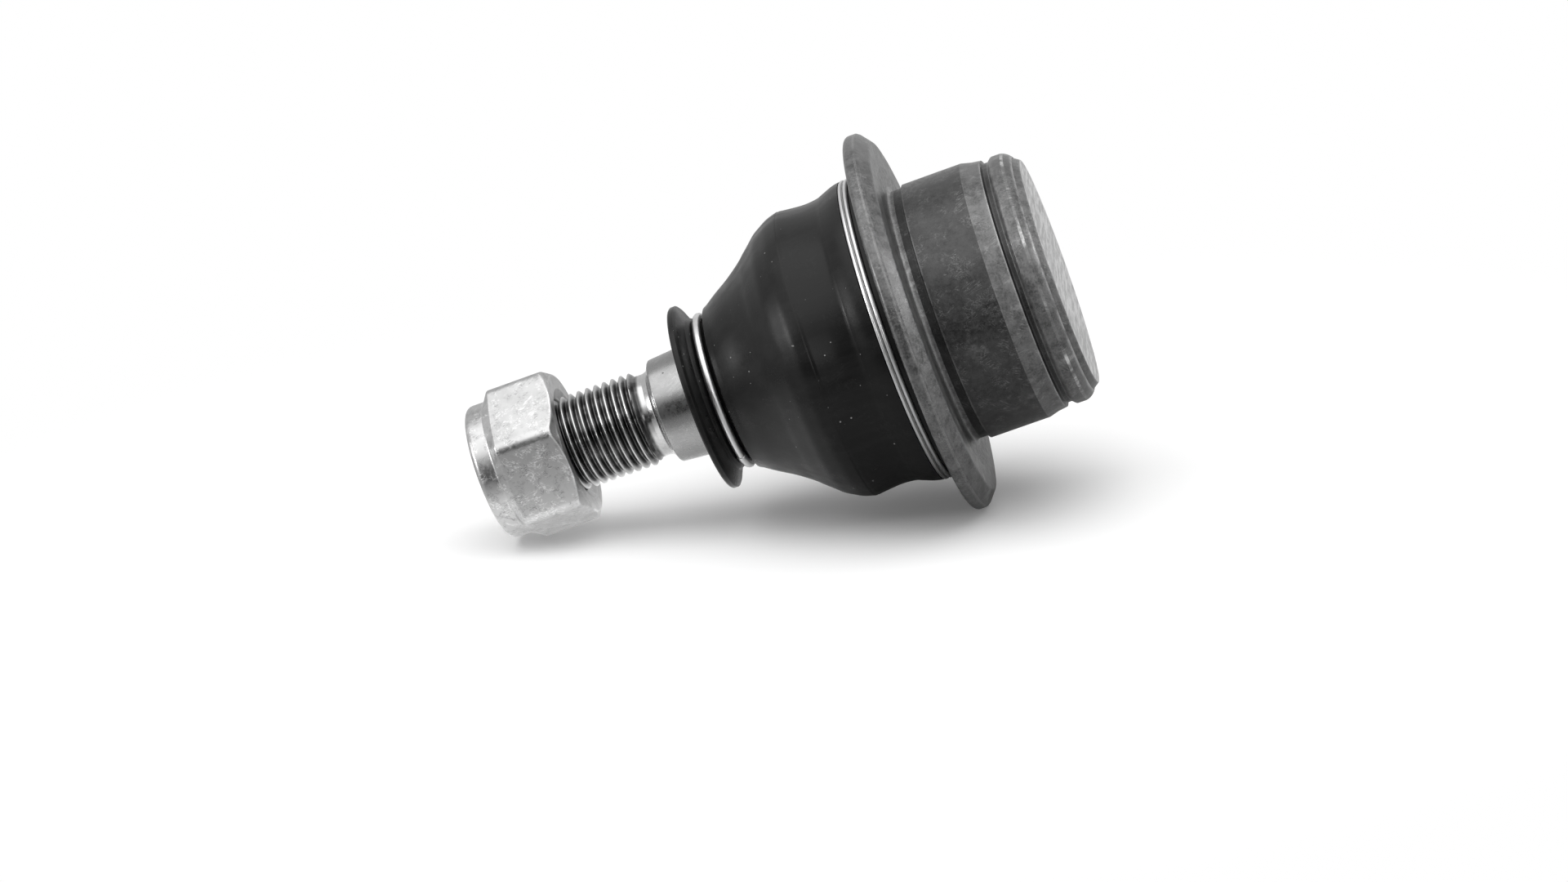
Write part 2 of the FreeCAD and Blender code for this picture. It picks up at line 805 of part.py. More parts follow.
os.makedirs("parts", exist_ok=True)
for piece in pieces:
    piece.Shape.exportStep(f"parts/{piece.Label}.step")
    box = piece.Shape.BoundBox
    print(f"{piece.Label}: {piece.Shape.Volume:.1f} mm3, z {box.ZMin:.2f} to {box.ZMax:.2f}")
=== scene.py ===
"""Looks of a press-in suspension ball joint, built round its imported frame.

Lengths in the classes are millimetres, as on a workshop drawing; meshes are made in metres.
+Z runs along the stud from the ball towards the nut, and the origin is the ball's centre.
"""

import logging
import math
from collections.abc import Callable, Sequence
from dataclasses import dataclass
from enum import Enum, IntEnum

import bmesh
import bpy
from mathutils import Matrix, Vector


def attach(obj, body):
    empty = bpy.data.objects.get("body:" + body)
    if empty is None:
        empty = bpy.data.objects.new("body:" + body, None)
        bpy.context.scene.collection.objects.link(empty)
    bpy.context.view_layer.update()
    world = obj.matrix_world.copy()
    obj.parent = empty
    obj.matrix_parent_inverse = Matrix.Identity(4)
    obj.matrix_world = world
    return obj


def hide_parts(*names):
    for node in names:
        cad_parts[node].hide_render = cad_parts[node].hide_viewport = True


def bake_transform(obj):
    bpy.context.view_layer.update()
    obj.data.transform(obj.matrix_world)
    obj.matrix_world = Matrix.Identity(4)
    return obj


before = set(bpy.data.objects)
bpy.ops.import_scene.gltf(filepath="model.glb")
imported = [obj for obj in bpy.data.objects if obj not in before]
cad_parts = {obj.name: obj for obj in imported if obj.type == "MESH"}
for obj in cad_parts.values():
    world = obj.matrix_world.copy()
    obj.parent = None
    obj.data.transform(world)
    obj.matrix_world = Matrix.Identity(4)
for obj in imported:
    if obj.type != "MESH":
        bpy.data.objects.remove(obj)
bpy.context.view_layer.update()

LOG = logging.getLogger("ball_joint")
MM = 0.001
FULL_TURN = 2 * math.pi
FLOAT = "NodeSocketFloat"

Point = tuple[float, float]
Socket = bpy.types.NodeSocket
Value = float | int | str | bool | tuple | Socket | bpy.types.ID


# ---------------------------------------------------------------- nodes


@dataclass
class NodeBench:
    """Adds nodes to one tree and joins them socket by socket."""

    tree: bpy.types.NodeTree

    def add(self, kind: str, inputs: dict[str | int, Value] | None = None, **settings: Value) -> bpy.types.Node:
        """Adds one node, sets it up and feeds its inputs.

        Args:
            kind: The node's type.
            inputs: A value, or the socket that feeds it, for each input named.
            settings: Properties of the node itself.

        Returns:
            The new node.
        """
        node = self.tree.nodes.new(kind)
        for name, value in settings.items():
            setattr(node, name, value)
        for key, value in (inputs or {}).items():
            if isinstance(value, Socket):
                self.tree.links.new(value, node.inputs[key])
            else:
                node.inputs[key].default_value = value
        return node

    def calc(self, operation: str, first: Value, second: Value = 0.0, third: Value = 0.0) -> Socket:
        """The result of one step of arithmetic, such as MAXIMUM."""
        return self.add("ShaderNodeMath", {0: first, 1: second, 2: third}, operation=operation).outputs[0]

    def plus(self, first: Value, second: Value) -> Socket:
        """One number and another."""
        return self.calc("ADD", first, second)

    def minus(self, first: Value, second: Value) -> Socket:
        """One number less another."""
        return self.calc("SUBTRACT", first, second)

    def times(self, first: Value, second: Value) -> Socket:
        """One number times another."""
        return self.calc("MULTIPLY", first, second)

    def scaled(self, value: Value, share: Value, base: Value) -> Socket:
        """A share of a value on top of a base."""
        return self.calc("MULTIPLY_ADD", value, share, base)

    def ramp(
        self, value: Value, low: Value, high: Value, out_low: Value = 0.0, out_high: Value = 1.0, soft: bool = True
    ) -> Socket:
        """Maps one range onto another and holds it at both ends.

        Args:
            value: The number to map.
            low: Where the first range starts.
            high: Where the first range ends.
            out_low: What the start becomes.
            out_high: What the end becomes.
            soft: Whether the ramp eases in and out.

        Returns:
            The result's socket.
        """
        style = "SMOOTHSTEP" if soft else "LINEAR"
        inputs = {"Value": value, "From Min": low, "From Max": high, "To Min": out_low, "To Max": out_high}
        return self.add("ShaderNodeMapRange", inputs, interpolation_type=style).outputs[0]

    def blend(self, share: Value, first: Value, second: Value) -> Socket:
        """The first colour at a share of 0, turning into the second at 1."""
        return self.add("ShaderNodeMix", {0: share, 6: first, 7: second}, data_type="RGBA").outputs[2]

    def over(self, tone: Value, mask: Socket, level: float, share: float = 1.0) -> Socket:
        """A tone with a grey laid over it, as far as the mask and a share of it let the grey show."""
        cover = mask if share == 1.0 else self.times(mask, share)
        return self.blend(cover, tone, grey(level))

    def noise(self, place: Socket, scale: Value, detail: float = 4.0, rough: float = 0.55) -> Socket:
        """Cloudy noise, 0 to 1, with finer layers of the strength that rough gives."""
        inputs = {"Vector": place, "Scale": scale, "Detail": detail, "Roughness": rough}
        return self.add("ShaderNodeTexNoise", inputs).outputs[0]

    def distance(self, place: Socket, point: Vector) -> Socket:
        """How far a place lies from a point."""
        return self.add("ShaderNodeVectorMath", {0: place, 1: tuple(point)}, operation="DISTANCE").outputs["Value"]

    def stretched(self, place: Socket, scale: tuple, turn: tuple = (0.0, 0.0, 0.0)) -> Socket:
        """A point turned and then scaled, so that a pattern read there runs in streaks."""
        turned = self.add("ShaderNodeMapping", {"Vector": place, "Rotation": turn})
        return self.add("ShaderNodeMapping", {"Vector": turned.outputs[0], "Scale": scale}).outputs[0]


def grey(level: float) -> tuple[float, float, float, float]:
    """A neutral colour."""
    return (level, level, level, 1.0)


def fresh_nodes(owner: bpy.types.Material | bpy.types.World) -> NodeBench:
    """Empties the node tree of a material or world.

    Args:
        owner: The material or world.

    Returns:
        The bench that builds it anew.
    """
    owner.use_nodes = True
    owner.node_tree.nodes.clear()
    return NodeBench(owner.node_tree)


def in_scene(name: str, data: bpy.types.ID) -> bpy.types.Object:
    """Makes an object and puts it in the scene.

    Args:
        name: Its name.
        data: Its mesh, lamp or camera.

    Returns:
        The object.
    """
    thing = bpy.data.objects.new(name, data)
    bpy.context.scene.collection.objects.link(thing)
    return thing


@dataclass(frozen=True)
class Effect:
    """A surface effect that several finishes share, kept as one node group.

    The recipe adds the group's nodes and gives back the sockets of its outputs by name.
    """

    name: str
    inputs: dict[str, tuple[str, float]]
    recipe: Callable[[NodeBench, dict[str, Socket]], dict[str, Socket]]

    def group(self) -> bpy.types.NodeTree:
        """Builds the group once.

        Returns:
            The group, also on later calls.
        """
        made = bpy.data.node_groups.get(self.name)
        if made:
            return made
        tree = bpy.data.node_groups.new(self.name, "ShaderNodeTree")
        tree.interface.new_socket("Place", in_out="INPUT", socket_type="NodeSocketVector")
        for name, (kind, start) in self.inputs.items():
            socket = tree.interface.new_socket(name, in_out="INPUT", socket_type=kind)
            socket.default_value = start
        bench = NodeBench(tree)
        sources = bench.add("NodeGroupInput").outputs
        results = self.recipe(bench, {socket.name: socket for socket in sources if socket.name})
        for name in results:
            tree.interface.new_socket(name, in_out="OUTPUT", socket_type="NodeSocketFloat")
        bench.add("NodeGroupOutput", results)
        return tree

    def place(self, bench: NodeBench, place: Socket, **inputs: Value) -> bpy.types.NodeOutputs:
        """Puts the effect into a finish, and gives its outputs."""
        return bench.add("ShaderNodeGroup", {"Place": place} | inputs, node_tree=self.group()).outputs


def grain_recipe(bench: NodeBench, given: dict[str, Socket]) -> dict[str, Socket]:
    """Mottled grain with fine pits: a mask for colour and a height for relief.

    Args:
        bench: The group's nodes.
        given: Its inputs.

    Returns:
        Its outputs by name.
    """
    coarse = bench.noise(given["Place"], given["Scale"], 5.0, 0.65)
    finer = bench.times(given["Scale"], 4.3)
    fine = bench.noise(given["Place"], finer, 3.0, 0.6)
    pits = bench.add("ShaderNodeTexVoronoi", {"Vector": given["Place"], "Scale": finer}).outputs[0]
    pitted = bench.ramp(pits, 0.05, 0.45)
    mixed = bench.scaled(fine, 0.45, bench.times(coarse, 0.55))
    mask = bench.ramp(mixed, 0.36, 0.64)
    height = bench.times(mixed, bench.scaled(pitted, given["Pits"], 1.0))
    return {"Mask": mask, "Height": height}


def edge_wear_and_shine_recipe(bench: NodeBench, given: dict[str, Socket]) -> dict[str, Socket]:
    """Bare metal along outer edges, broken up by noise; on the nut the same mask paints a highlight.

    Args:
        bench: The group's nodes.
        given: Its inputs.

    Returns:
        Its outputs by name.
    """
    rounded = bench.add("ShaderNodeBevel", {"Radius": given["Reach"]}, samples=6).outputs[0]
    flat = bench.add("ShaderNodeNewGeometry").outputs["Normal"]
    facing = bench.add("ShaderNodeVectorMath", {0: rounded, 1: flat}, operation="DOT_PRODUCT").outputs["Value"]
    edge = bench.ramp(facing, 0.9985, 0.965)
    patchy = bench.ramp(bench.noise(given["Place"], given["Scale"], 4.0, 0.7), 0.3, 0.55)
    return {"Mask": bench.times(edge, bench.times(patchy, given["Amount"]))}


def scratch_recipe(bench: NodeBench, given: dict[str, Socket]) -> dict[str, Socket]:
    """Short thin scratches at three angles, each set kept to patches of its own.

    Args:
        bench: The group's nodes.
        given: Its inputs.

    Returns:
        Its outputs by name.
    """
    total: Value = 0.0
    for index, turn in enumerate(((0.3, 0.5, 0.9), (1.1, -0.6, 2.0), (-0.7, 1.3, 2.9))):
        streak = bench.stretched(given["Place"], (1.0, 16.0, 16.0), turn)
        lines = bench.noise(streak, given["Scale"], 2.0, 0.5)
        aside = bench.calc("ABSOLUTE", bench.minus(lines, 0.5))
        thin = bench.ramp(aside, given["Width"], bench.times(given["Width"], 0.2))
        where = bench.stretched(given["Place"], (1.0, 1.0, 1.0), (float(index), 0.4, 0.2))
        patch = bench.ramp(bench.noise(where, bench.times(given["Scale"], 2.2), 2.0), 0.56, 0.64)
        total = bench.calc("MAXIMUM", total, bench.times(thin, patch))
    return {"Mask": bench.times(total, given["Amount"])}


def dust_recipe(bench: NodeBench, given: dict[str, Socket]) -> dict[str, Socket]:
    """Sparse pale specks of several sizes.

    Args:
        bench: The group's nodes.
        given: Its inputs.

    Returns:
        Its outputs by name.
    """
    cells = bench.add("ShaderNodeTexVoronoi", {"Vector": given["Place"], "Scale": given["Scale"]})
    chosen = bench.add("ShaderNodeSeparateColor", {0: cells.outputs["Color"]}).outputs
    size = bench.ramp(chosen[0], bench.minus(1.0, given["Share"]), 1.0, 0.0, 0.12, soft=False)
    speck = bench.ramp(cells.outputs["Distance"], size, bench.times(size, 0.55))
    there = bench.calc("GREATER_THAN", size, 0.002)
    film = bench.ramp(bench.noise(given["Place"], bench.times(given["Scale"], 0.22), 5.0), 0.5, 0.8)
    return {"Specks": bench.times(speck, there), "Film": film}


GRAIN = Effect("surface_grain", {"Scale": (FLOAT, 900.0), "Pits": (FLOAT, 0.2)}, grain_recipe)
# Edge mask: bare wear on the phosphate, a painted highlight on the nut.
EDGE_WEAR_AND_SHINE = Effect(
    "edge_wear", {"Reach": (FLOAT, 0.0004), "Scale": (FLOAT, 500.0), "Amount": (FLOAT, 0.6)}, edge_wear_and_shine_recipe
)
SCRATCHES = Effect(
    "handling_scratches", {"Scale": (FLOAT, 120.0), "Width": (FLOAT, 0.03), "Amount": (FLOAT, 0.6)}, scratch_recipe
)
DUST = Effect("dust_specks", {"Scale": (FLOAT, 400.0), "Share": (FLOAT, 0.05)}, dust_recipe)


# ---------------------------------------------------------------- finishes


# Greys of the marks on plated faces, of dark dust specks and of painted light: the painted shade in the thread's
# roots and the painted highlight on edges.
FRESH_SCRATCH = 0.85
DEEP_CHIP = 0.08
DARK_SPECK_AND_SHADE = 0.06
PAINTED_EDGE_HIGHLIGHT = 0.9


@dataclass(frozen=True)
class Finish:
    """What every finish has: a name and a way to start and end its nodes."""

    name: str

    def start(self) -> tuple[NodeBench, Socket]:
        """Makes an empty material, and gives its nodes and the place on the piece."""
        bench = fresh_nodes(bpy.data.materials.new(self.name))
        return bench, bench.add("ShaderNodeTexCoord").outputs["Object"]

    def end(
        self, bench: NodeBench, tone: Socket, rough: Socket, height: Socket, depth: float, **plain: Value
    ) -> bpy.types.Material:
        """Joins the finish's looks to its main shader.

        Args:
            bench: The finish's nodes.
            tone: Its colour.
            rough: Its roughness.
            height: Its relief, 0 to 1.
            depth: What a relief of 1 is worth, in millimetres.
            plain: What is the same all over: the shader's inputs, with underscores for spaces.

        Returns:
            The material.
        """
        bump = bench.add("ShaderNodeBump", {"Height": height, "Distance": depth * MM, "Strength": 1.0})
        inputs = {"Base Color": tone, "Roughness": rough, "Normal": bump.outputs[0]}
        inputs |= {name.replace("_", " "): value for name, value in plain.items()}
        shader = bench.add("ShaderNodeBsdfPrincipled", inputs)
        bench.add("ShaderNodeOutputMaterial", {"Surface": shader.outputs[0]})
        return bpy.data.materials[self.name]


@dataclass(frozen=True)
class PhosphatedSteel(Finish):
    """Dark grey phosphate on forged or turned steel, rubbed bright along its edges."""

    dark: float = 0.075
    light: float = 0.13
    bare: float = 0.34
    roughness: float = 0.42
    grain: float = 700.0
    depth: float = 0.022
    wear: float = 0.75
    metal: float = 0.55
    mottle: float = 0.5
    # Share of pale rubbed patches, which are wear; on the highlight-painted copy they add to the painted sheen.
    rubbed_and_sheen: float = 0.25
    rub_from: float = 0.56
    lathe_lines: float = 0.0
    streaks: float = 0.0

    def material(self) -> bpy.types.Material:
        """Builds the material.

        Returns:
            The material.
        """
        bench, place = self.start()
        skin = GRAIN.place(bench, place, Scale=self.grain, Pits=0.35)
        cloud = bench.ramp(bench.noise(place, 330.0, 7.0, 0.72), 0.42, 0.6)
        patch = bench.ramp(bench.noise(place, 140.0, 7.0, 0.72), self.rub_from, self.rub_from + 0.16)
        edge = EDGE_WEAR_AND_SHINE.place(bench, place, Reach=0.6 * MM, Scale=420.0, Amount=self.wear)
        rub = SCRATCHES.place(bench, place, Scale=150.0, Amount=0.25)
        dust = DUST.place(bench, place, Scale=620.0, Share=0.03)
        tone = bench.blend(skin["Mask"], grey(self.dark), grey(self.light))
        tone = bench.over(tone, cloud, self.light * 1.4, self.mottle)
        tone = bench.over(tone, patch, self.bare, self.rubbed_and_sheen)
        height = skin["Height"]
        if self.streaks:
            drawn = bench.noise(bench.stretched(place, (0.9, 0.1, 1.0), (0.0, 0.0, 0.2)), 1300.0, 5.0, 0.65)
            tone = bench.over(tone, bench.ramp(drawn, 0.42, 0.62), self.bare, self.streaks)
            height = bench.scaled(drawn, 0.8, height)
        if self.lathe_lines:
            turned = bench.noise(bench.stretched(place, (0.03, 0.03, 1.0)), 5200.0, 2.0, 0.5)
            height = bench.scaled(turned, self.lathe_lines, height)
        tone = bench.over(tone, bench.calc("MAXIMUM", edge["Mask"], rub["Mask"]), self.bare)
        tone = bench.over(tone, dust["Specks"], 0.4, 0.5)
        rough = bench.ramp(skin["Mask"], 0.0, 1.0, self.roughness - 0.06, self.roughness + 0.08)
        return self.end(bench, tone, rough, height, self.depth, Metallic=self.metal)


@dataclass(frozen=True)
class ZincPlate(Finish):
    """Bright zinc, smooth on turned faces and marked where tools and crates touched it, with painted shade in the
    thread's roots and a painted highlight on edges where asked.
    """

    pale: float = 0.5
    dull: float = 0.38
    roughness: float = 0.2
    clouded: float = 0.5
    marks: float = 0.5
    mark_scale: float = 110.0
    mark_width: float = 0.03
    mark_cut: float = 1.5
    edge_highlight: float = 0.0
    lathe_lines: float = 0.3
    depth: float = 0.004
    groove_floor: float = 0.0
    groove_crest: float = 0.0
    groove_from: float = 0.0
    groove_to: float = 80.1

    def material(self) -> bpy.types.Material:
        """Builds the material.

        Returns:
            The material.
        """
        bench, place = self.start()
        skin = GRAIN.place(bench, place, Scale=520.0, Pits=0.1)
        cloud = bench.ramp(bench.noise(place, 130.0, 4.0), 0.38, 0.68)
        mark = {"Width": self.mark_width, "Amount": self.marks}
        marks = SCRATCHES.place(bench, place, Scale=self.mark_scale, **mark)
        chips = SCRATCHES.place(bench, place, Scale=self.mark_scale * 1.6, **mark)
        dust = DUST.place(bench, place, Scale=500.0, Share=0.02)
        turned = bench.noise(bench.stretched(place, (0.02, 0.02, 1.0)), 6000.0, 2.0, 0.5)
        tone = bench.over(grey(self.pale), cloud, self.dull, self.clouded)
        tone = bench.over(tone, marks["Mask"], FRESH_SCRATCH)
        tone = bench.over(tone, chips["Mask"], DEEP_CHIP)
        # Painted highlight along the nut's rounded edges.
        if self.edge_highlight:
            edge = EDGE_WEAR_AND_SHINE.place(bench, place, Reach=0.5 * MM, Scale=160.0, Amount=self.edge_highlight)
            tone = bench.over(tone, edge["Mask"], PAINTED_EDGE_HIGHLIGHT)
        # Painted shade in the thread's roots.
        if self.groove_from:
            tone = bench.over(tone, self.painted_thread_shade(bench, place), DARK_SPECK_AND_SHADE)
        tone = bench.over(tone, dust["Specks"], DARK_SPECK_AND_SHADE, 0.75)
        rough = bench.ramp(skin["Mask"], 0.0, 1.0, self.roughness, self.roughness + 0.09)
        rough = bench.scaled(marks["Mask"], 0.2, rough)
        height = bench.scaled(turned, self.lathe_lines, skin["Height"])
        height = bench.scaled(marks["Mask"], -self.mark_cut, height)
        return self.end(bench, tone, rough, height, self.depth, Metallic=1.0)

    def painted_thread_shade(self, bench: NodeBench, place: Socket) -> Socket:
        """Painted shade that darkens the thread's roots between its crests, unevenly.

        Args:
            bench: The finish's nodes.
            place: The place on the piece.

        Returns:
            How much of it lies there.
        """
        spot = bench.add("ShaderNodeSeparateXYZ", {0: place}).outputs
        flat = bench.add("ShaderNodeCombineXYZ", {0: spot[0], 1: spot[1]}).outputs[0]
        radius = bench.add("ShaderNodeVectorMath", {0: flat}, operation="LENGTH").outputs["Value"]
        deep = bench.ramp(radius, self.groove_crest * MM, self.groove_floor * MM)
        along = bench.ramp(spot[2], (self.groove_from - 0.6) * MM, self.groove_from * MM)
        along = bench.times(along, bench.ramp(spot[2], self.groove_to * MM, (self.groove_to - 0.3) * MM))
        patchy = bench.ramp(bench.noise(place, 380.0, 3.0), 0.3, 0.6, 0.7, 1.0)
        return bench.times(bench.times(deep, along), patchy)


@dataclass(frozen=True)
class DrawnWire(Finish):
    """Bright spring wire with fine lines along its length."""

    pale: float = 0.68
    roughness: float = 0.3

    def material(self) -> bpy.types.Material:
        """Builds the material.

        Returns:
            The material.
        """
        bench, place = self.start()
        skin = GRAIN.place(bench, place, Scale=900.0, Pits=0.1)
        drawn = bench.noise(bench.stretched(place, (0.1, 0.1, 1.0)), 2500.0, 2.0)
        tone = bench.blend(bench.ramp(drawn, 0.4, 0.7, 0.0, 0.4), grey(self.pale), grey(self.pale * 0.7))
        rough = bench.ramp(skin["Mask"], 0.0, 1.0, self.roughness, self.roughness + 0.12)
        height = bench.scaled(drawn, 0.3, skin["Height"])
        return self.end(bench, tone, rough, height, 0.0006, Metallic=1.0)


@dataclass(frozen=True)
class MouldedRubber(Finish):
    """Black moulded rubber, faintly bloomed, with pale dust clinging to it."""

    black: float = 0.006
    bloom: float = 0.014
    roughness: float = 0.31
    shine: float = 0.19

    def material(self) -> bpy.types.Material:
        """Builds the material.

        Returns:
            The material.
        """
        bench, place = self.start()
        skin = GRAIN.place(bench, place, Scale=1500.0, Pits=0.25)
        dust = DUST.place(bench, place, Scale=640.0, Share=0.6)
        drag = bench.noise(bench.stretched(place, (1.0, 1.0, 0.12)), 260.0, 4.0, 0.6)
        rub = SCRATCHES.place(bench, place, Scale=90.0, Amount=0.2)
        tone = bench.blend(bench.ramp(drag, 0.45, 0.75, 0.0, 0.5), grey(self.black), grey(self.bloom))
        tone = bench.over(tone, dust["Film"], self.bloom, 0.2)
        tone = bench.over(tone, rub["Mask"], 0.05, 0.5)
        tone = bench.over(tone, dust["Specks"], 0.35, 0.6)
        rough = bench.ramp(drag, 0.3, 0.7, self.roughness - 0.05, self.roughness + 0.1)
        rough = bench.scaled(dust["Specks"], 0.3, rough)
        height = bench.scaled(dust["Specks"], 1.5, skin["Height"])
        return self.end(bench, tone, rough, height, 0.012, Specular_IOR_Level=self.shine)


@dataclass(frozen=True)
class MouldedPlastic(Finish):
    """Plain moulded plastic with a fine satin skin and a film of grease."""

    tone: float = 0.7
    roughness: float = 0.45
    scatter: float = 0.1

    def material(self) -> bpy.types.Material:
        """Builds the material.

        Returns:
            The material.
        """
        bench, place = self.start()
        skin = GRAIN.place(bench, place, Scale=800.0, Pits=0.15)
        cloud = bench.ramp(bench.noise(place, 160.0, 4.0), 0.3, 0.7)
        tone = bench.blend(cloud, grey(self.tone), grey(self.tone * 0.82))
        rough = bench.ramp(skin["Mask"], 0.0, 1.0, self.roughness - 0.08, self.roughness + 0.08)
        soft = {"Subsurface_Weight": self.scatter, "Subsurface_Radius": (MM, MM, MM)}
        return self.end(bench, tone, rough, skin["Height"], 0.01, **soft)


# ---------------------------------------------------------------- turned shapes


# Pieces from one measured point to the next and in a rounded corner, and the share of a side that a
# corner may take. Points within WELD, in metres, are one; a radius under ON_AXIS, in millimetres, is a pole.
RUN_STEPS = 4
CORNER_STEPS = 5
LONGEST_REACH = 0.45
WELD = 1e-7
ON_AXIS = 1e-6


@dataclass(frozen=True)
class Corner:
    """A corner of a turned profile, the radius that softens it, and the finish of the face it starts."""

    r: float
    z: float
    soft: float = 0.0
    finish: int = 0


def corners(*rows: tuple) -> list[Corner]:
    """Corners from rows of radius, height, softening radius and finish."""
    return [Corner(*row) for row in rows]


def through(*knots: Point) -> list[Corner]:
    """A smooth run through measured points.

    Args:
        knots: Radius and height of each point.

    Returns:
        The run's corners, first and last point included.
    """
    out = []
    last = len(knots) - 1
    for i in range(last):
        p0, p1, p2, p3 = (knots[min(max(k, 0), last)] for k in (i - 1, i, i + 1, i + 2))
        for step in range(RUN_STEPS):
            t = step / RUN_STEPS
            point = [
                0.5 * (2 * b + (c - a) * t + (2 * a - 5 * b + 4 * c - d) * t**2 + (3 * b - a - 3 * c + d) * t**3)
                for a, b, c, d in zip(p0, p1, p2, p3)
            ]
            out.append(Corner(*point))
    return out + [Corner(*knots[-1])]


def softened(profile: Sequence[Corner], closed: bool, pitch: float) -> list[Corner]:
    """Rounds a profile's corners and divides its long runs.

    Args:
        profile: The profile's corners.
        closed: Whether its last corner joins its first.
        pitch: The longest run that is left whole.

    Returns:
        The profile's points.
    """
    rounded: list[Corner] = []
    count = len(profile)
    for i, corner in enumerate(profile):
        here = Vector((corner.r, corner.z))
        if corner.soft <= 0 or (not closed and i in (0, count - 1)):
            rounded.append(corner)
            continue
        before, after = profile[i - 1], profile[(i + 1) % count]
        back = Vector((before.r, before.z)) - here
        ahead = Vector((after.r, after.z)) - here
        half = back.angle(ahead) / 2
        reach = min(corner.soft / math.tan(half), LONGEST_REACH * back.length, LONGEST_REACH * ahead.length)
        start, end = here + back.normalized() * reach, here + ahead.normalized() * reach
        centre = here + (back.normalized() + ahead.normalized()).normalized() * (reach / math.cos(half))
        radius = (start - centre).length
        for step in range(CORNER_STEPS + 1):
            spoke = (start - centre).slerp(end - centre, step / CORNER_STEPS).normalized() * radius
            finish = before.finish if step < CORNER_STEPS / 2 else corner.finish
            rounded.append(Corner(centre.x + spoke.x, centre.y + spoke.y, 0.0, finish))
    out: list[Corner] = []
    for i, corner in enumerate(rounded):
        out.append(corner)
        if not closed and i == len(rounded) - 1:
            continue
        following = rounded[(i + 1) % len(rounded)]
        rise, step_out = following.z - corner.z, following.r - corner.r
        parts = max(1, math.ceil(math.hypot(step_out, rise) / pitch))
        for part in range(1, parts):
            t = part / parts
            out.append(Corner(corner.r + step_out * t, corner.z + rise * t, 0.0, corner.finish))
    return out


def finished_object(name: str, mesh: bpy.types.Mesh, crease: float = 38.0) -> bpy.types.Object:
    """Turns a mesh's faces outwards, shades it and puts it in the scene.

    Args:
        name: The piece's name.
        mesh: Its mesh, in metres.
        crease: Degrees between two faces from which their edge stays sharp.

    Returns:
        The piece.
    """
    work = bmesh.new()
    work.from_mesh(mesh)
    bmesh.ops.remove_doubles(work, verts=work.verts, dist=WELD)
    bmesh.ops.recalc_face_normals(work, faces=work.faces)
    for face in work.faces:
        face.smooth = True
    work.to_mesh(mesh)
    work.free()
    mesh.set_sharp_from_angle(angle=math.radians(crease))
    return in_scene(name, mesh)


def skinned(name: str, rings: Sequence[Sequence[Vector]], joined: bool) -> bpy.types.Mesh:
    """Skins rings that have the same number of points.

    Args:
        name: The mesh's name.
        rings: Their points, in millimetres.
        joined: Whether the last ring joins the first; otherwise both get a lid.

    Returns:
        The mesh, in metres.
    """
    count = len(rings[0])
    faces = []
    for here in range(len(rings) if joined else len(rings) - 1):
        low, high = here * count, (here + 1) % len(rings) * count
        faces += [(low + k, high + k, high + (k + 1) % count, low + (k + 1) % count) for k in range(count)]
    if not joined:
        last = (len(rings) - 1) * count
        faces += [tuple(range(count)), tuple(range(last, last + count))]
    mesh = bpy.data.meshes.new(name)
    mesh.from_pydata([tuple(point * MM) for ring in rings for point in ring], [], faces)
    return mesh


Ripple = Callable[[float, float, float], tuple[float, float]]


def turned_mesh(
    name: str, profile: Sequence[Corner], closed: bool, segments: int, ripple: Ripple | None = None
) -> bpy.types.Mesh:
    """Turns a profile round the stud's axis.

    Args:
        name: The mesh's name.
        profile: Its points, in millimetres.
        closed: Whether the profile is a loop; otherwise ends on the axis become poles.
        segments: Steps round the axis.
        ripple: Gives a change of radius and height for an angle, radius and height.

    Returns:
        The mesh, in metres.
    """
    points: list[tuple[float, float, float]] = []
    rings: list[list[int]] = []
    for corner in profile:
        if corner.r < ON_AXIS:
            rings.append([len(points)] * segments)
            points.append((0.0, 0.0, corner.z * MM))
            continue
        rings.append(list(range(len(points), len(points) + segments)))
        for step in range(segments):
            angle = FULL_TURN * step / segments
            dr, dz = ripple(angle, corner.r, corner.z) if ripple else (0.0, 0.0)
            r = (corner.r + dr) * MM
            points.append((r * math.cos(angle), r * math.sin(angle), (corner.z + dz) * MM))
    faces, finishes = [], []
    count = len(rings)
    for i in range(count if closed else count - 1):
        low, high = rings[i], rings[(i + 1) % count]
        for step in range(segments):
            along = (step + 1) % segments
            loop = list(dict.fromkeys((low[step], low[along], high[along], high[step])))
            if len(loop) > 2:
                faces.append(loop)
                finishes.append(profile[i].finish)
    mesh = bpy.data.meshes.new(name)
    mesh.from_pydata(points, [], faces)
    mesh.polygons.foreach_set("material_index", finishes)
    return mesh


# ---------------------------------------------------------------- geometry node tools


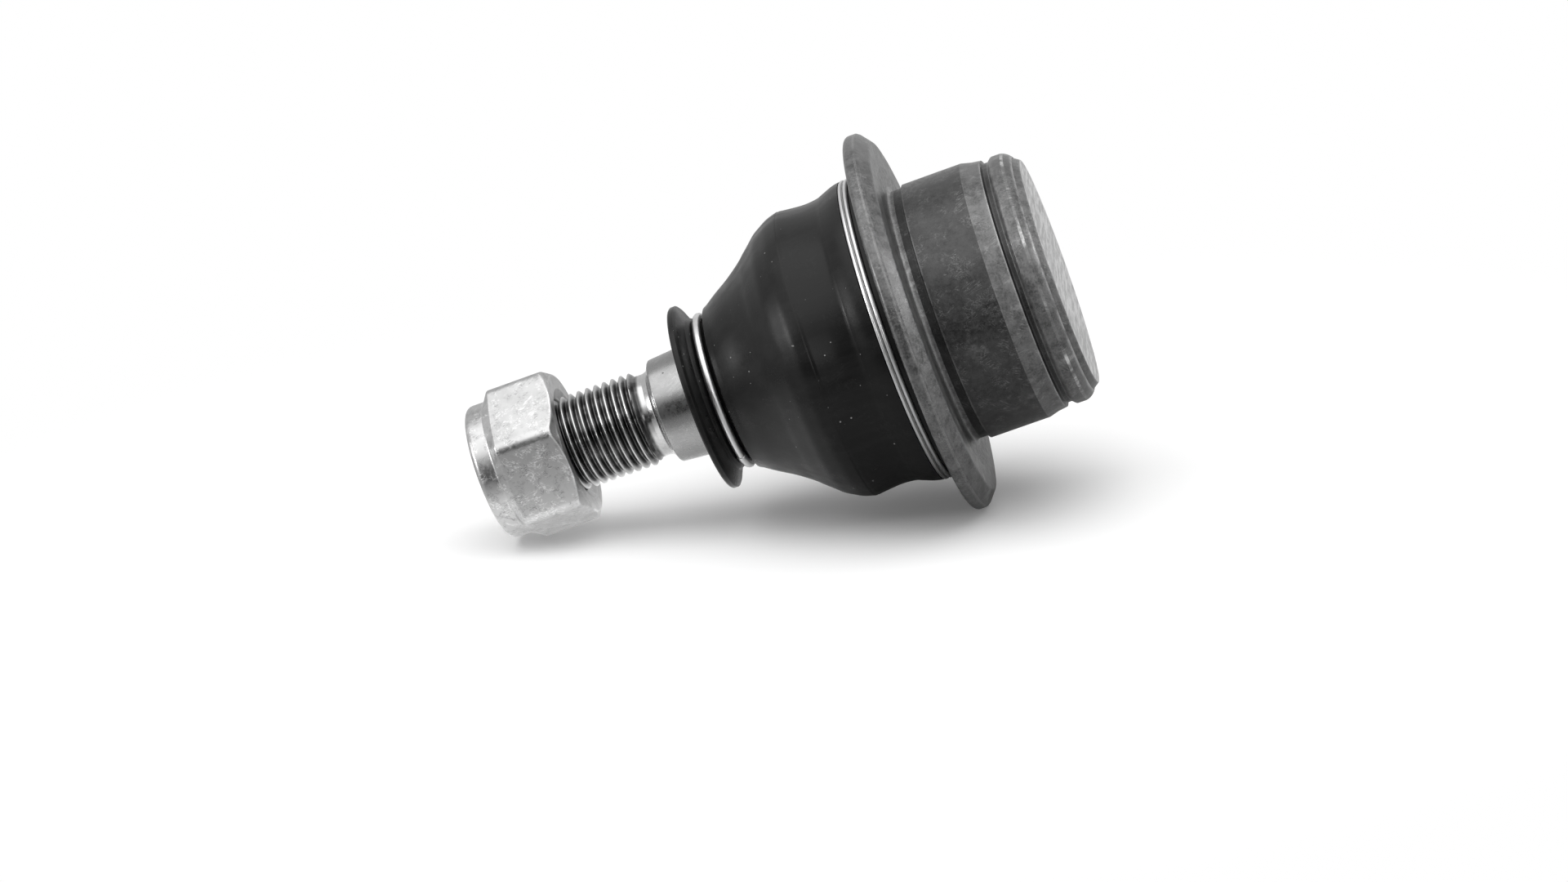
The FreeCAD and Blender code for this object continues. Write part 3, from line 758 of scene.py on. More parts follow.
class GeometryRecipe:
    """A geometry node tree with named inputs, run once and kept as a plain mesh."""

    def __init__(self, name: str, inputs: dict[str, str]) -> None:
        """Starts the tree.

        Args:
            name: The tree's name.
            inputs: Socket type of each named input.
        """
        self.tree = bpy.data.node_groups.new(name, "GeometryNodeTree")
        self.bench = NodeBench(self.tree)
        interface = self.tree.interface
        interface.new_socket("Geometry", in_out="OUTPUT", socket_type="NodeSocketGeometry")
        self.sockets = {n: interface.new_socket(n, in_out="INPUT", socket_type=kind) for n, kind in inputs.items()}
        self.given = self.bench.add("NodeGroupInput").outputs

    def wind(self, shape: Socket, radius: Socket, angle: Socket, height: Socket) -> Socket:
        """Moves a shape's points round the stud's axis.

        Args:
            shape: The shape.
            radius: Each point's distance from the axis.
            angle: Its angle round the axis.
            height: Its height.

        Returns:
            The moved shape.
        """
        across = self.bench.times(radius, self.bench.calc("COSINE", angle))
        deep = self.bench.times(radius, self.bench.calc("SINE", angle))
        spot = self.bench.add("ShaderNodeCombineXYZ", {0: across, 1: deep, 2: height}).outputs[0]
        return self.bench.add("GeometryNodeSetPosition", {"Geometry": shape, "Position": spot}).outputs[0]

    def end(self, geometry: Socket) -> None:
        """Ends the tree in real faces with the piece's own material.

        Args:
            geometry: What the tree has made.
        """
        real = self.bench.add("GeometryNodeRealizeInstances", {"Geometry": geometry}).outputs[0]
        dressed = self.bench.add("GeometryNodeSetMaterial", {"Geometry": real, "Material": self.given["Material"]})
        self.bench.add("NodeGroupOutput", {"Geometry": dressed.outputs[0]})

    def run(self, name: str, values: dict[str, Value]) -> bpy.types.Mesh:
        """Runs the tree with values for its inputs.

        Args:
            name: The mesh's name.
            values: A value for each named input.

        Returns:
            The result as a plain mesh.
        """
        carrier = in_scene(name, bpy.data.meshes.new(name + "_seed"))
        modifier = carrier.modifiers.new("shape", "NODES")
        modifier.node_group = self.tree
        for key, value in values.items():
            modifier[self.sockets[key].identifier] = value
        graph = bpy.context.evaluated_depsgraph_get()
        mesh = bpy.data.meshes.new_from_object(carrier.evaluated_get(graph))
        mesh.name = name
        carrier.modifiers.remove(modifier)
        bpy.data.objects.remove(carrier)
        return mesh


# The thread: its seam's merging distance in metres, the run-in's depth under the root in millimetres,
# and, in turns, where a flank starts and ends beside the crest's middle and a nudge against rounding.
SEAM_WELD = 1e-6
RUN_IN_GAP = 0.01
CREST_SHARE = 0.06
ROOT_SHARE = 0.43
ROW_NUDGE = 1e-5


def thread_recipe() -> GeometryRecipe:
    """A right-hand thread whose rows of faces follow the helix.

    Returns:
        The tree. Its sheet is wound round the axis, each row one pitch higher after a turn, and is
        held between two heights, where it draws in to the root.
    """
    lengths = ("Pitch", "Crest Radius", "Root Radius", "Start", "End", "Lead In", "Chamfer")
    counts = ("Turns", "Rows", "Columns")
    kinds = {name: FLOAT for name in lengths} | {name: "NodeSocketInt" for name in counts}
    recipe = GeometryRecipe("rolled_thread", kinds | {"Material": "NodeSocketMaterial"})
    bench, given = recipe.bench, recipe.given
    grid = {"Vertices X": bench.plus(given["Columns"], 1.0), "Vertices Y": bench.plus(given["Rows"], 1.0)}
    sheet = bench.add("GeometryNodeMeshGrid", {"Size X": 1.0, "Size Y": 1.0} | grid).outputs[0]
    place = bench.add("ShaderNodeSeparateXYZ", {0: bench.add("GeometryNodeInputPosition").outputs[0]}).outputs
    around = bench.plus(place[0], 0.5)
    turns = bench.times(bench.plus(place[1], 0.5), given["Turns"])
    base = bench.minus(given["Start"], given["Pitch"])
    climbed = bench.scaled(bench.plus(turns, around), given["Pitch"], base)
    height = bench.calc("MINIMUM", bench.calc("MAXIMUM", climbed, given["Start"]), given["End"])
    from_crest = bench.calc("ABSOLUTE", bench.minus(bench.calc("FRACT", bench.plus(turns, ROW_NUDGE)), 0.5))
    crest, root = given["Crest Radius"], given["Root Radius"]
    profile = bench.ramp(from_crest, CREST_SHARE, ROOT_SHARE, crest, root, soft=False)
    lead_end = bench.plus(given["Start"], given["Lead In"])
    low_root = bench.minus(root, RUN_IN_GAP * MM)
    lead = bench.ramp(height, given["Start"], lead_end, low_root, crest, soft=False)
    chamfer_start = bench.minus(given["End"], given["Chamfer"])
    nose = bench.minus(crest, given["Chamfer"])
    end = bench.ramp(height, chamfer_start, given["End"], crest, nose, soft=False)
    radius = bench.calc("MINIMUM", profile, bench.calc("MINIMUM", lead, end))
    angle = bench.times(around, FULL_TURN)
    wound = recipe.wind(sheet, radius, angle, height)
    recipe.end(bench.add("GeometryNodeMergeByDistance", {"Geometry": wound, "Distance": SEAM_WELD}).outputs[0])
    return recipe


WIRE_SIDES = 16


def wire_recipe() -> GeometryRecipe:
    """A wound wire: level turns with one eased step up between them.

    Returns:
        The tree. A length of wire follows a circle, and its step starts and ends at given angles.
    """
    lengths = ("Ring Radius", "Wire Radius", "Level", "Rise", "Start Angle", "Whole Angle", "Step From", "Step To")
    kinds = {name: FLOAT for name in lengths} | {"Points": "NodeSocketInt", "Material": "NodeSocketMaterial"}
    recipe = GeometryRecipe("wound_wire", kinds)
    bench, given = recipe.bench, recipe.given
    line = bench.add("GeometryNodeCurvePrimitiveLine").outputs[0]
    fine = bench.add("GeometryNodeResampleCurve", {"Curve": line, "Count": given["Points"]}).outputs[0]
    along = bench.add("GeometryNodeSplineParameter").outputs["Factor"]
    gone = bench.times(along, given["Whole Angle"])
    angle = bench.plus(gone, given["Start Angle"])
    rise = bench.ramp(gone, given["Step From"], given["Step To"], 0.0, given["Rise"])
    path = recipe.wind(fine, given["Ring Radius"], angle, bench.plus(given["Level"], rise))
    circle = bench.add("GeometryNodeCurvePrimitiveCircle", {"Resolution": WIRE_SIDES, "Radius": given["Wire Radius"]})
    drawn = {"Curve": path, "Profile Curve": circle.outputs[0], "Fill Caps": True}
    recipe.end(bench.add("GeometryNodeCurveToMesh", drawn).outputs[0])
    return recipe


# ---------------------------------------------------------------- sub-assemblies


class SteelFace(IntEnum):
    """Which finish a face of the housing takes."""

    FORGED = 0
    TURNED = 1
    # Painted shade: a near-black copy of the phosphate for the relief and the groove by the roll.
    SHELTERED = 2
    # Painted highlight: a paler copy of the phosphate, with rubbed wear, for a band along the rolled edge.
    RUBBED = 3


class Strands(Enum):
    """How often a boot ring goes round."""

    SINGLE = 1
    DOUBLE = 2


def join(piece: bpy.types.Object, body: str, node: str) -> None:
    """Puts a finished piece on its body in place of its CAD node.

    Args:
        piece: The finished piece.
        body: The body that carries it.
        node: The node that it stands for.
    """
    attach(piece, body)
    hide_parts(node)
    LOG.info("%s rides on %s: %d faces", piece.name, body, len(piece.data.polygons))


def in_metres(**lengths: float) -> dict[str, float]:
    """Lengths in metres, under a geometry tree's names for them."""
    return {name.replace("_", " "): length * MM for name, length in lengths.items()}


@dataclass
class HousingAssembly:
    """The forged housing with its press-fit land, and the plate rolled into its end."""

    land_radius: float = 22.0
    flange_radius: float = 32.5
    flange_levels: Point = (3.0, 7.0)
    bore: float = 18.0
    cover_bore: float = 20.35
    cover_levels: Point = (-19.0, -16.0)
    opening: float = 13.2
    neck_radius: float = 22.6
    hook_radius: float = 23.4
    neck_top: float = 12.8
    roll_middle: Point = (-1.95, -16.1)
    roll_reach: Point = (1.35, 1.8)
    roll_fullness: float = 1.3
    roll_steps: int = 10
    # Steps of the roll's arc that carry the painted highlight band.
    highlight_steps: tuple[int, ...] = (7, 8)
    rim_band: float = 3.0
    rim_waves: tuple[float, float, float] = (0.05, 0.05, 0.03)
    roll_band: Point = (20.5, -13.0)
    roll_waves: Point = (0.03, 0.035)
    segments: int = 224
    forged: PhosphatedSteel = PhosphatedSteel(
        "forged_phosphate", dark=0.055, light=0.13, bare=0.42, roughness=0.36, depth=0.03, mottle=0.4, rubbed_and_sheen=0.6
    )
    turned: PhosphatedSteel = PhosphatedSteel(
        "turned_phosphate",
        dark=0.025,
        light=0.052,
        roughness=0.35,
        mottle=0.3,
        grain=1100.0,
        depth=0.012,
        wear=0.4,
        lathe_lines=0.25,
    )
    # Painted shade: the near-black phosphate of the relief by the flange and of the groove by the roll.
    painted_shade: PhosphatedSteel = PhosphatedSteel(
        "sheltered_phosphate", dark=0.008, light=0.018, bare=0.15, roughness=0.36, wear=0.3, rubbed_and_sheen=0.1
    )
    # Painted highlight: a pale copy of the phosphate, with rubbed wear, for the band along the rolled edge.
    rubbed_and_sheen: PhosphatedSteel = PhosphatedSteel(
        "rubbed_phosphate", dark=0.08, light=0.16, bare=0.62, roughness=0.33, rubbed_and_sheen=0.9, rub_from=0.5
    )
    plate: PhosphatedSteel = PhosphatedSteel(
        "rolled_plate_phosphate", dark=0.2, light=0.4, bare=0.75, roughness=0.4, metal=0.8, streaks=0.6, rubbed_and_sheen=0.6
    )

    def outline(self) -> list[Corner]:
        """The housing's section as a closed profile, from the cover's seat outwards and round.

        Returns:
            The profile.
        """
        land, rim, neck, hook = self.land_radius, self.flange_radius, self.neck_radius, self.hook_radius
        (seat, face), top, cover = self.flange_levels, self.neck_top, self.cover_levels[1]
        forged, turned, painted_shade, rubbed_and_sheen = SteelFace
        (aside, level), (wide, deep) = self.roll_middle, self.roll_reach
        roll = []
        for step in range(self.roll_steps + 1):
            angle = math.radians(90 * step / self.roll_steps)
            out, down = (max(0.0, part) ** self.roll_fullness for part in (math.sin(angle), math.cos(angle)))
            # A painted highlight band runs along these steps of the roll.
            finish = rubbed_and_sheen if step in self.highlight_steps else forged
            roll.append((land + aside + wide * out, level - deep * down, 0.0, finish))
        return corners(
            (self.bore, cover, 0.0, turned), (self.cover_bore, cover, 0.0, turned),
            (self.cover_bore, cover - 1.3, 0.0, forged),
            *roll,
            # The groove by the roll and the relief by the flange take the painted shade.
            (land - 0.6, -14.6, 0.6, forged), (land - 1.25, -13.9, 0.3, painted_shade),
            (land - 1.25, -13.1, 0.15, painted_shade), (land - 0.66, -12.85, 0.08, forged),
            # The land's end bevel takes the paler forged finish as a painted sheen.
            (land - 0.45, -11.3, 0.5, forged), (land, -9.6, 0.6, turned),
            (land, 0.6, 0.12, painted_shade), (land - 0.5, 0.6, 0.1, painted_shade),
            (land - 0.5, 2.0, 0.0, forged), (land - 0.5, seat, 0.85, forged),
            # The ring of the flange's seat face next to the land takes the darker turned finish as painted shade.
            (land + 0.5, seat, 0.0, turned), (land + 4.0, seat, 0.0, forged),
            (rim - 2.2, seat, 1.0, forged), (rim - 0.35, seat + 1.52, 0.3, forged),
            (rim, seat + 2.0, 0.3, forged), (rim, face, 1.4, forged),
            (neck, face, 0.1, turned), (neck, top - 2.2, 0.1, turned),
            (hook, top - 2.2, 0.1, turned), (hook, top - 0.8, 0.1, turned),
            (neck, top, 0.1, turned), (self.opening + 2.4, top, 0.2, turned),
            (self.opening, top - 4.4, 0.2, turned), (self.opening, top - 6.15, 0.1, turned),
            (self.opening + 0.753, top - 6.15, 0.0, turned), (self.bore, seat, 0.0, turned),
        )

    def forging_ripple(self, angle: float, r: float, z: float) -> tuple[float, float]:
        """The slight waviness of the forged flange and of the rolled edge.

        Args:
            angle: Angle round the stud.
            r: Radius.
            z: Height.

        Returns:
            Changes of radius and height.
        """
        wave = 0.5 * math.sin(5 * angle + 0.7) + 0.3 * math.sin(11 * angle + z) + 0.2 * math.sin(23 * angle + 2.1 * z)
        if r > self.flange_radius - self.rim_band:
            inset, swing, lift = self.rim_waves
            return -inset - swing * wave, lift * wave
        if r > self.roll_band[0] and z < self.roll_band[1]:
            inset, swing = self.roll_waves
            return -inset - swing * wave, 0.0
        return 0.0, 0.0

    def build(self) -> None:
        """Makes both pieces and joins them to the housing's body."""
        profile = softened(self.outline(), closed=True, pitch=1.2)
        mesh = turned_mesh("turned_housing", profile, True, self.segments, self.forging_ripple)
        for finish in (self.forged, self.turned, self.painted_shade, self.rubbed_and_sheen):
            mesh.materials.append(finish.material())
        join(finished_object("turned_housing", mesh), "housing", "housing")

        face, seat = self.cover_levels
        rim, back, edge = self.cover_bore - 0.05, seat - 0.05, 1
        section = corners(
            *((0.0, face), (rim - 1.05, face, 0.3, edge), (rim - 0.5, face + 0.8, 0.3, edge)),
            *((rim, face + 1.7, 0.1, edge), (rim, back, 0.1, edge), (0.0, back)),
        )
        section = softened(section, closed=False, pitch=1.5)
        cover = turned_mesh("pressed_cover", section, False, self.segments)
        cover.materials.append(self.plate.material())
        cover.materials.append(bpy.data.materials[self.forged.name])
        join(finished_object("pressed_cover", cover), "housing", "cover_plate")


# Angles: the step between two strands, and the gap between a single ring's ends.
STEP_ANGLE = math.radians(30.0)
WIRE_END_GAP = 0.002


@dataclass(frozen=True)
class WireRing:
    """One wound wire ring of the boot."""

    name: str
    radius: float
    wire: float
    level: float
    start: float
    points: int
    strands: Strands = Strands.SINGLE
    rise: float = 0.0

    def wind(self, recipe: GeometryRecipe, skin: bpy.types.Material) -> bpy.types.Object:
        """Winds the ring.

        Args:
            recipe: The wound wire's tree.
            skin: Its material.

        Returns:
            The ring.
        """
        strand = FULL_TURN - STEP_ANGLE
        single = self.strands is Strands.SINGLE
        values = in_metres(Ring_Radius=self.radius, Wire_Radius=self.wire / 2, Level=self.level, Rise=self.rise) | {
            "Start Angle": math.radians(self.start),
            "Whole Angle": FULL_TURN - WIRE_END_GAP if single else strand * 2 + STEP_ANGLE,
            "Step From": strand,
            "Step To": FULL_TURN,
            "Points": self.points,
            "Material": skin,
        }
        return finished_object(self.name, recipe.run(self.name, values))


@dataclass
class BootAssembly:
    """The rubber boot with the wire rings that hold its two ends."""

    segments: int = 192
    bead_ring: WireRing = WireRing(
        "bead_ring", radius=25.6, wire=0.8, level=8.93, start=105.0, points=420, strands=Strands.DOUBLE, rise=0.83
    )
    collar_ring: WireRing = WireRing("collar_ring", radius=12.85, wire=1.34, level=39.85, start=196.0, points=220)
    groove_centre: float = 13.165
    groove_reach: float = 1.17
    groove_span: float = 79.4
    bend_from: float = 11.5
    bend_to: float = 37.0
    rubber: MouldedRubber = MouldedRubber("boot_rubber_finish")
    steel: DrawnWire = DrawnWire("spring_wire_finish")

    def outer_run(self) -> list[Corner]:
        """The boot's outside from the bead to the shoulder below the small ring.

        Returns:
            The run's corners.
        """
        bead = through((25.9, 10.21), (25.78, 11.0), (25.5, 12.0), (25.0, 13.3), (24.84, 13.74))
        waist = through((24.78, 13.86), (24.53, 14.7), (24.34, 16.8), (24.5, 19.2), (24.72, 21.18))
        crease = corners((24.67, 21.36), (24.67, 21.44))
        crown = through(
            *((24.74, 21.62), (24.57, 22.3), (24.16, 23.6), (23.47, 24.9), (22.63, 26.3), (21.5, 27.6)),
            *((20.3, 29.0), (19.15, 30.3), (17.22, 33.0), (15.62, 35.7), (14.3, 37.7)),
        )
        return bead + waist + crease + crown

    def outline(self) -> list[Corner]:
        """The boot's section as a closed profile, from its foot outwards, up to the lip and back inside.

        Returns:
            The profile.
        """
        groove = []
        for step in range(-5, 6):
            angle = math.radians(self.groove_span) * step / 5
            r = self.groove_centre - self.groove_reach * math.cos(angle)
            groove.append(Corner(r, self.collar_ring.level + self.groove_reach * math.sin(angle)))
        foot = corners(
            (22.68, 7.08, 0.1), (25.6, 7.08, 0.2), (25.6, 8.48, 0.15), (25.15, 8.48, 0.1), (25.15, 10.21, 0.1)
        )
        shoulder = corners((13.98, 38.36, 0.25), (13.2, 38.52, 0.12))
        lip = corners(
            *((13.3, 41.65, 0.3), (15.3, 42.55, 0.2), (15.84, 42.95, 0.15), (15.84, 43.62, 0.15)),
            *((15.62, 43.9, 0.2), (14.6, 43.86, 0.2), (12.2, 43.2, 0.5), (10.4, 43.5, 0.3)),
            *((9.53, 44.2, 0.1), (9.53, 37.08, 0.3), (12.98, 36.0, 0.6)),
        )
        inside = through(
            *((15.6, 31.8), (18.3, 28.7), (20.6, 26.0), (22.2, 23.9)),
            *((22.76, 21.4), (22.5, 19.0), (22.34, 16.8), (22.75, 14.3)),
        )
        neck = corners((23.48, 12.88, 0.1), (23.48, 10.52, 0.1), (22.68, 10.52, 0.1))
        return foot + self.outer_run() + shoulder + groove + lip + inside + neck

    def sleeve(self, skin: bpy.types.Material) -> bpy.types.Object:
        """The small sleeve over the ring's joint, its mouth open towards the wire's free end.

        Args:
            skin: Its material.

        Returns:
            The sleeve.
        """
        stations = (
            *((180.0, 0.3), (180.3, 0.58), (181.5, 0.66), (195.0, 0.72), (207.0, 0.8)),
            *((211.0, 0.82), (211.7, 0.78), (211.9, 0.68), (211.4, 0.61)),
        )
        sides = 20
        up = Vector((0, 0, 1))
        rings = []
        for degrees, reach in stations:
            out = Vector((math.cos(math.radians(degrees)), math.sin(math.radians(degrees)), 0.0))
            centre = out * self.collar_ring.radius + up * self.collar_ring.level
            turns = [FULL_TURN * side / sides for side in range(sides)]
            rings.append([centre + (out * math.cos(turn) + up * math.sin(turn)) * reach for turn in turns])
        mesh = skinned("ring_sleeve", rings, joined=False)
        mesh.materials.append(skin)
        return finished_object("ring_sleeve", mesh, crease=60.0)

    def build(self) -> None:
        """Makes the boot and both rings, and joins the rings and the sleeve to their bodies."""
        profile = softened(self.outline(), closed=True, pitch=0.7)
        mesh = turned_mesh("moulded_boot", profile, True, self.segments)
        mesh.materials.append(self.rubber.material())
        boot = finished_object("moulded_boot", mesh, crease=50.0)
        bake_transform(boot)
        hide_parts("dust_boot")
        LOG.info("%s bends from boot to boot_collar: %d faces", boot.name, len(mesh.polygons))

        wire = self.steel.material()
        recipe = wire_recipe()
        join(self.bead_ring.wind(recipe, wire), "boot", "boot_large_ring")
        join(self.collar_ring.wind(recipe, wire), "boot_collar", "boot_small_ring")
        join(self.sleeve(wire), "boot_collar", "boot_small_ring")


@dataclass
class StudAssembly:
    """The ball stud with its rolled thread."""

    ball_radius: float = 14.0
    ball_steps: int = 40
    flat_level: float = -13.0
    neck_radius: float = 7.5
    neck_end: float = 18.0
    seat_radius: float = 9.45
    seat_levels: Point = (37.0, 43.2)
    taper_foot: Point = (8.87, 50.2)
    undercut: Point = (7.35, 51.0)
    root_radius: float = 7.08
    crest_radius: float = 7.98
    pitch: float = 1.5
    taper_end: float = 50.4
    thread_start: float = 53.3
    thread_end: float = 80.3
    lead_in: float = 0.9
    chamfer: float = 1.2
    segments: int = 160
    rows_per_turn: int = 20
    zinc: ZincPlate = ZincPlate(
        "stud_zinc", roughness=0.18, marks=0.15, depth=0.002, groove_floor=7.35, groove_crest=7.95, groove_from=53.0
    )
    satin: ZincPlate = ZincPlate("taper_zinc", pale=0.28, dull=0.23, roughness=0.25, marks=0.1, depth=0.002)

    def outline(self) -> list[Corner]:
        """The stud below its thread, from the ball's flat upwards.

        Returns:
            The profile, open at the top.
        """
        ball = []
        first = math.acos(-self.flat_level / self.ball_radius)
        last = math.pi - math.asin(self.neck_radius / self.ball_radius)
        for step in range(self.ball_steps + 1):
            angle = first + (last - first) * step / self.ball_steps
            ball.append((self.ball_radius * math.sin(angle), -self.ball_radius * math.cos(angle)))
        run_in = self.root_radius - RUN_IN_GAP
        low, high = self.seat_levels
        return corners(
            (0.0, self.flat_level),
            *ball[:-1],
            (*ball[-1], 1.5), (self.neck_radius, self.neck_end, 0.8),
            (self.seat_radius, low, 0.8), (self.seat_radius, high, 0.5),
            (*self.taper_foot, 0.45), (*self.undercut, 0.5),
            (run_in, self.undercut[1] + 0.9, 0.5), (run_in, self.thread_start),
        )

    def build(self) -> None:
        """Makes the stud as one piece and joins it to its body."""
        skin = self.zinc.material()
        outline = softened(self.outline(), closed=False, pitch=1.0)
        body = turned_mesh("stud_body", outline, False, self.segments)
        nose = self.crest_radius - self.chamfer
        end = corners((nose, self.thread_end), (0.0, self.thread_end))
        tip = turned_mesh("stud_tip", end, False, self.segments)
        turns = round((self.thread_end - self.thread_start) / self.pitch) + 1
        rows = turns * self.rows_per_turn
        lengths = in_metres(
            Pitch=self.pitch,
            Crest_Radius=self.crest_radius,
            Root_Radius=self.root_radius,
            Start=self.thread_start,
            End=self.thread_end,
            Lead_In=self.lead_in,
            Chamfer=self.chamfer,
        )
        counts = {"Turns": turns, "Rows": rows, "Columns": self.segments}
        thread = thread_recipe().run("stud_thread", lengths | counts | {"Material": skin})
        whole = bmesh.new()
        for part in (body, thread, tip):
            whole.from_mesh(part)
        bmesh.ops.remove_doubles(whole, verts=whole.verts, dist=2 * SEAM_WELD)
        for face in whole.faces:
            face.material_index = 0 if face.calc_center_median().z > self.taper_end * MM else 1
        mesh = bpy.data.meshes.new("threaded_stud")
        whole.to_mesh(mesh)
        whole.free()
        mesh.materials.append(skin)
        mesh.materials.append(self.satin.material())
        join(finished_object("threaded_stud", mesh, crease=60.0), "stud", "ball_stud")


# The angle that one side of the hexagon takes up.
SIDE_ANGLE = math.pi / 3


@dataclass
class NutAssembly:
    """The hexagon nut with its plain collar, and the ring of nylon held in it."""

    flats: float = 24.0
    bottom: float = 66.4
    shoulder: float = 78.3
    flats_end: float = 77.0
    top: float = 81.79
    corner_round: float = 2.2
    cone_foot: float = 11.956
    cone_slope: float = 1.583
    least_lift: float = 0.06
    clock: float = 14.0
    collar_radius: float = 11.56
    bore: float = 8.05
    bore_mouth: float = 9.65
    collar_hole: float = 9.2
    nylon_seat: float = 10.06
    nylon_levels: Point = (78.1, 81.0)
    zinc: ZincPlate = ZincPlate(
        "nut_zinc",
        pale=0.44,
        dull=0.36,
        roughness=0.3,
        clouded=0.3,
        marks=0.5,
        mark_scale=150.0,
        mark_width=0.045,
        mark_cut=3.0,
        # Painted highlight on the hexagon's rounded edges.
        edge_highlight=0.9,
        lathe_lines=0.0,
    )
    nylon: MouldedPlastic = MouldedPlastic("nylon_finish", tone=0.66, roughness=0.35, scatter=0.2)

    def hexagon_radius(self, off_flat: float) -> float:
        """Radius of the hexagon's outside.

        Args:
            off_flat: Angle from the nearest flat's middle, 0 to 30 degrees, in radians.

        Returns:
            The radius, with the corner rounded.
        """
        flat = self.flats / 2
        centre = (flat - self.corner_round) / math.cos(SIDE_ANGLE / 2)
        off_corner = SIDE_ANGLE / 2 - off_flat
        arc = math.atan2(self.corner_round * 0.5, centre + self.corner_round * math.cos(SIDE_ANGLE / 2))
        if off_corner > arc:
            return flat / math.cos(off_flat)
        inside = self.corner_round**2 - (centre * math.sin(off_corner)) ** 2
        return centre * math.cos(off_corner) + math.sqrt(inside)

    def angles(self) -> list[float]:
        """Angles round the nut, closer together at its six corners.

        Returns:
            The angles, in radians.
        """
        steps = [0, 3, 6, 9, 12, 15, 18, 20, 21.5, 22.5, 23.5, 24.5, 25.5, 26.5, 27.5, 28.5, 29.5]
        half = [*(-s for s in reversed(steps[1:])), *steps]
        return [math.radians(self.clock + 60 * side + s) for side in range(6) for s in half]

    def meridian(self, angle: float) -> list[Corner]:
        """The nut's section at one angle, as a closed profile with the same corners at every angle.

        Args:
            angle: Angle round the stud.

        Returns:
            The section's points.
        """
        off = (angle - math.radians(self.clock) + SIDE_ANGLE / 2) % SIDE_ANGLE - SIDE_ANGLE / 2
        out = self.hexagon_radius(abs(off))
        lift = max((out - self.cone_foot) / self.cone_slope, self.least_lift)
        foot, head = self.bottom + lift, min(self.shoulder - lift, self.flats_end)
        collar, hole, (low, high) = self.collar_radius, self.collar_hole, self.nylon_levels
        profile = corners(
            (self.bore_mouth, self.bottom, 0.15), (min(self.cone_foot, out - 0.05), self.bottom, 0.35),
            (out, foot, 0.6), (out, head, 0.6),
            (collar + 0.1, self.shoulder, 0.3), (collar, self.shoulder + 0.2, 0.35),
            (collar, self.top, 1.6), (hole, self.top, 0.25),
            (hole, high, 0.2), (self.nylon_seat, high),
            (self.nylon_seat, low), (self.bore, low),
            (self.bore, self.bottom + 0.8, 0.1),
        )
        return softened(profile, closed=True, pitch=40.0)

    def build(self) -> None:
        """Makes the nut and dresses the nylon ring."""
        sections = [
            [Vector((c.r * math.cos(angle), c.r * math.sin(angle), c.z)) for c in self.meridian(angle)]
            for angle in self.angles()
        ]
        mesh = skinned("collared_nut", sections, joined=True)
        mesh.materials.append(self.zinc.material())
        join(finished_object("collared_nut", mesh, crease=44.0), "nut", "lock_nut")
        dress_node("nylon_insert", self.nylon.material())


def dress_node(node: str, skin: bpy.types.Material) -> None:
    """Gives a CAD node that stays in view a material of its own.

    Args:
        node: The node's name.
        skin: Its new material.
    """
    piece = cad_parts[node]
    piece.data.materials.clear()
    piece.data.materials.append(skin)
    LOG.info("%s wears %s", node, skin.name)


@dataclass
class BallSeat:
    """The plastic seats and the spring inside the housing, which stay as the CAD has them."""

    plastic: MouldedPlastic = MouldedPlastic("bearing_plastic_finish", tone=0.72, roughness=0.4, scatter=0.12)
    spring: DrawnWire = DrawnWire("disc_spring_finish", pale=0.45, roughness=0.32)

    def build(self) -> None:
        """Dresses the three inner nodes."""
        plastic = self.plastic.material()
        dress_node("upper_bearing", plastic)
        dress_node("lower_bearing", plastic)
        dress_node("preload_spring", self.spring.material())


# ---------------------------------------------------------------- studio


# The joint's middle, in metres.
MIDDLE = Vector((0, 0, 0.03))


@dataclass(frozen=True)
class SoftBox:
    """A rectangular lamp, placed from the joint's middle and aimed at it.

    Bright metal shows every lamp, but matt surfaces take light only from those that say so.
    """

    name: str
    offset: Vector
    size: Point
    watts: float
    lights_matt: bool = False

    def hang(self) -> None:
        """Hangs the lamp."""
        data = bpy.data.lights.new(self.name, "AREA")
        data.shape, data.energy = "RECTANGLE", self.watts
        data.size, data.size_y = self.size
        lamp = in_scene(self.name, data)
        turn = (-self.offset).to_track_quat("-Z", "Y").to_matrix().to_4x4()
        lamp.matrix_world = Matrix.Translation(MIDDLE + self.offset) @ turn
        lamp.visible_diffuse = self.lights_matt


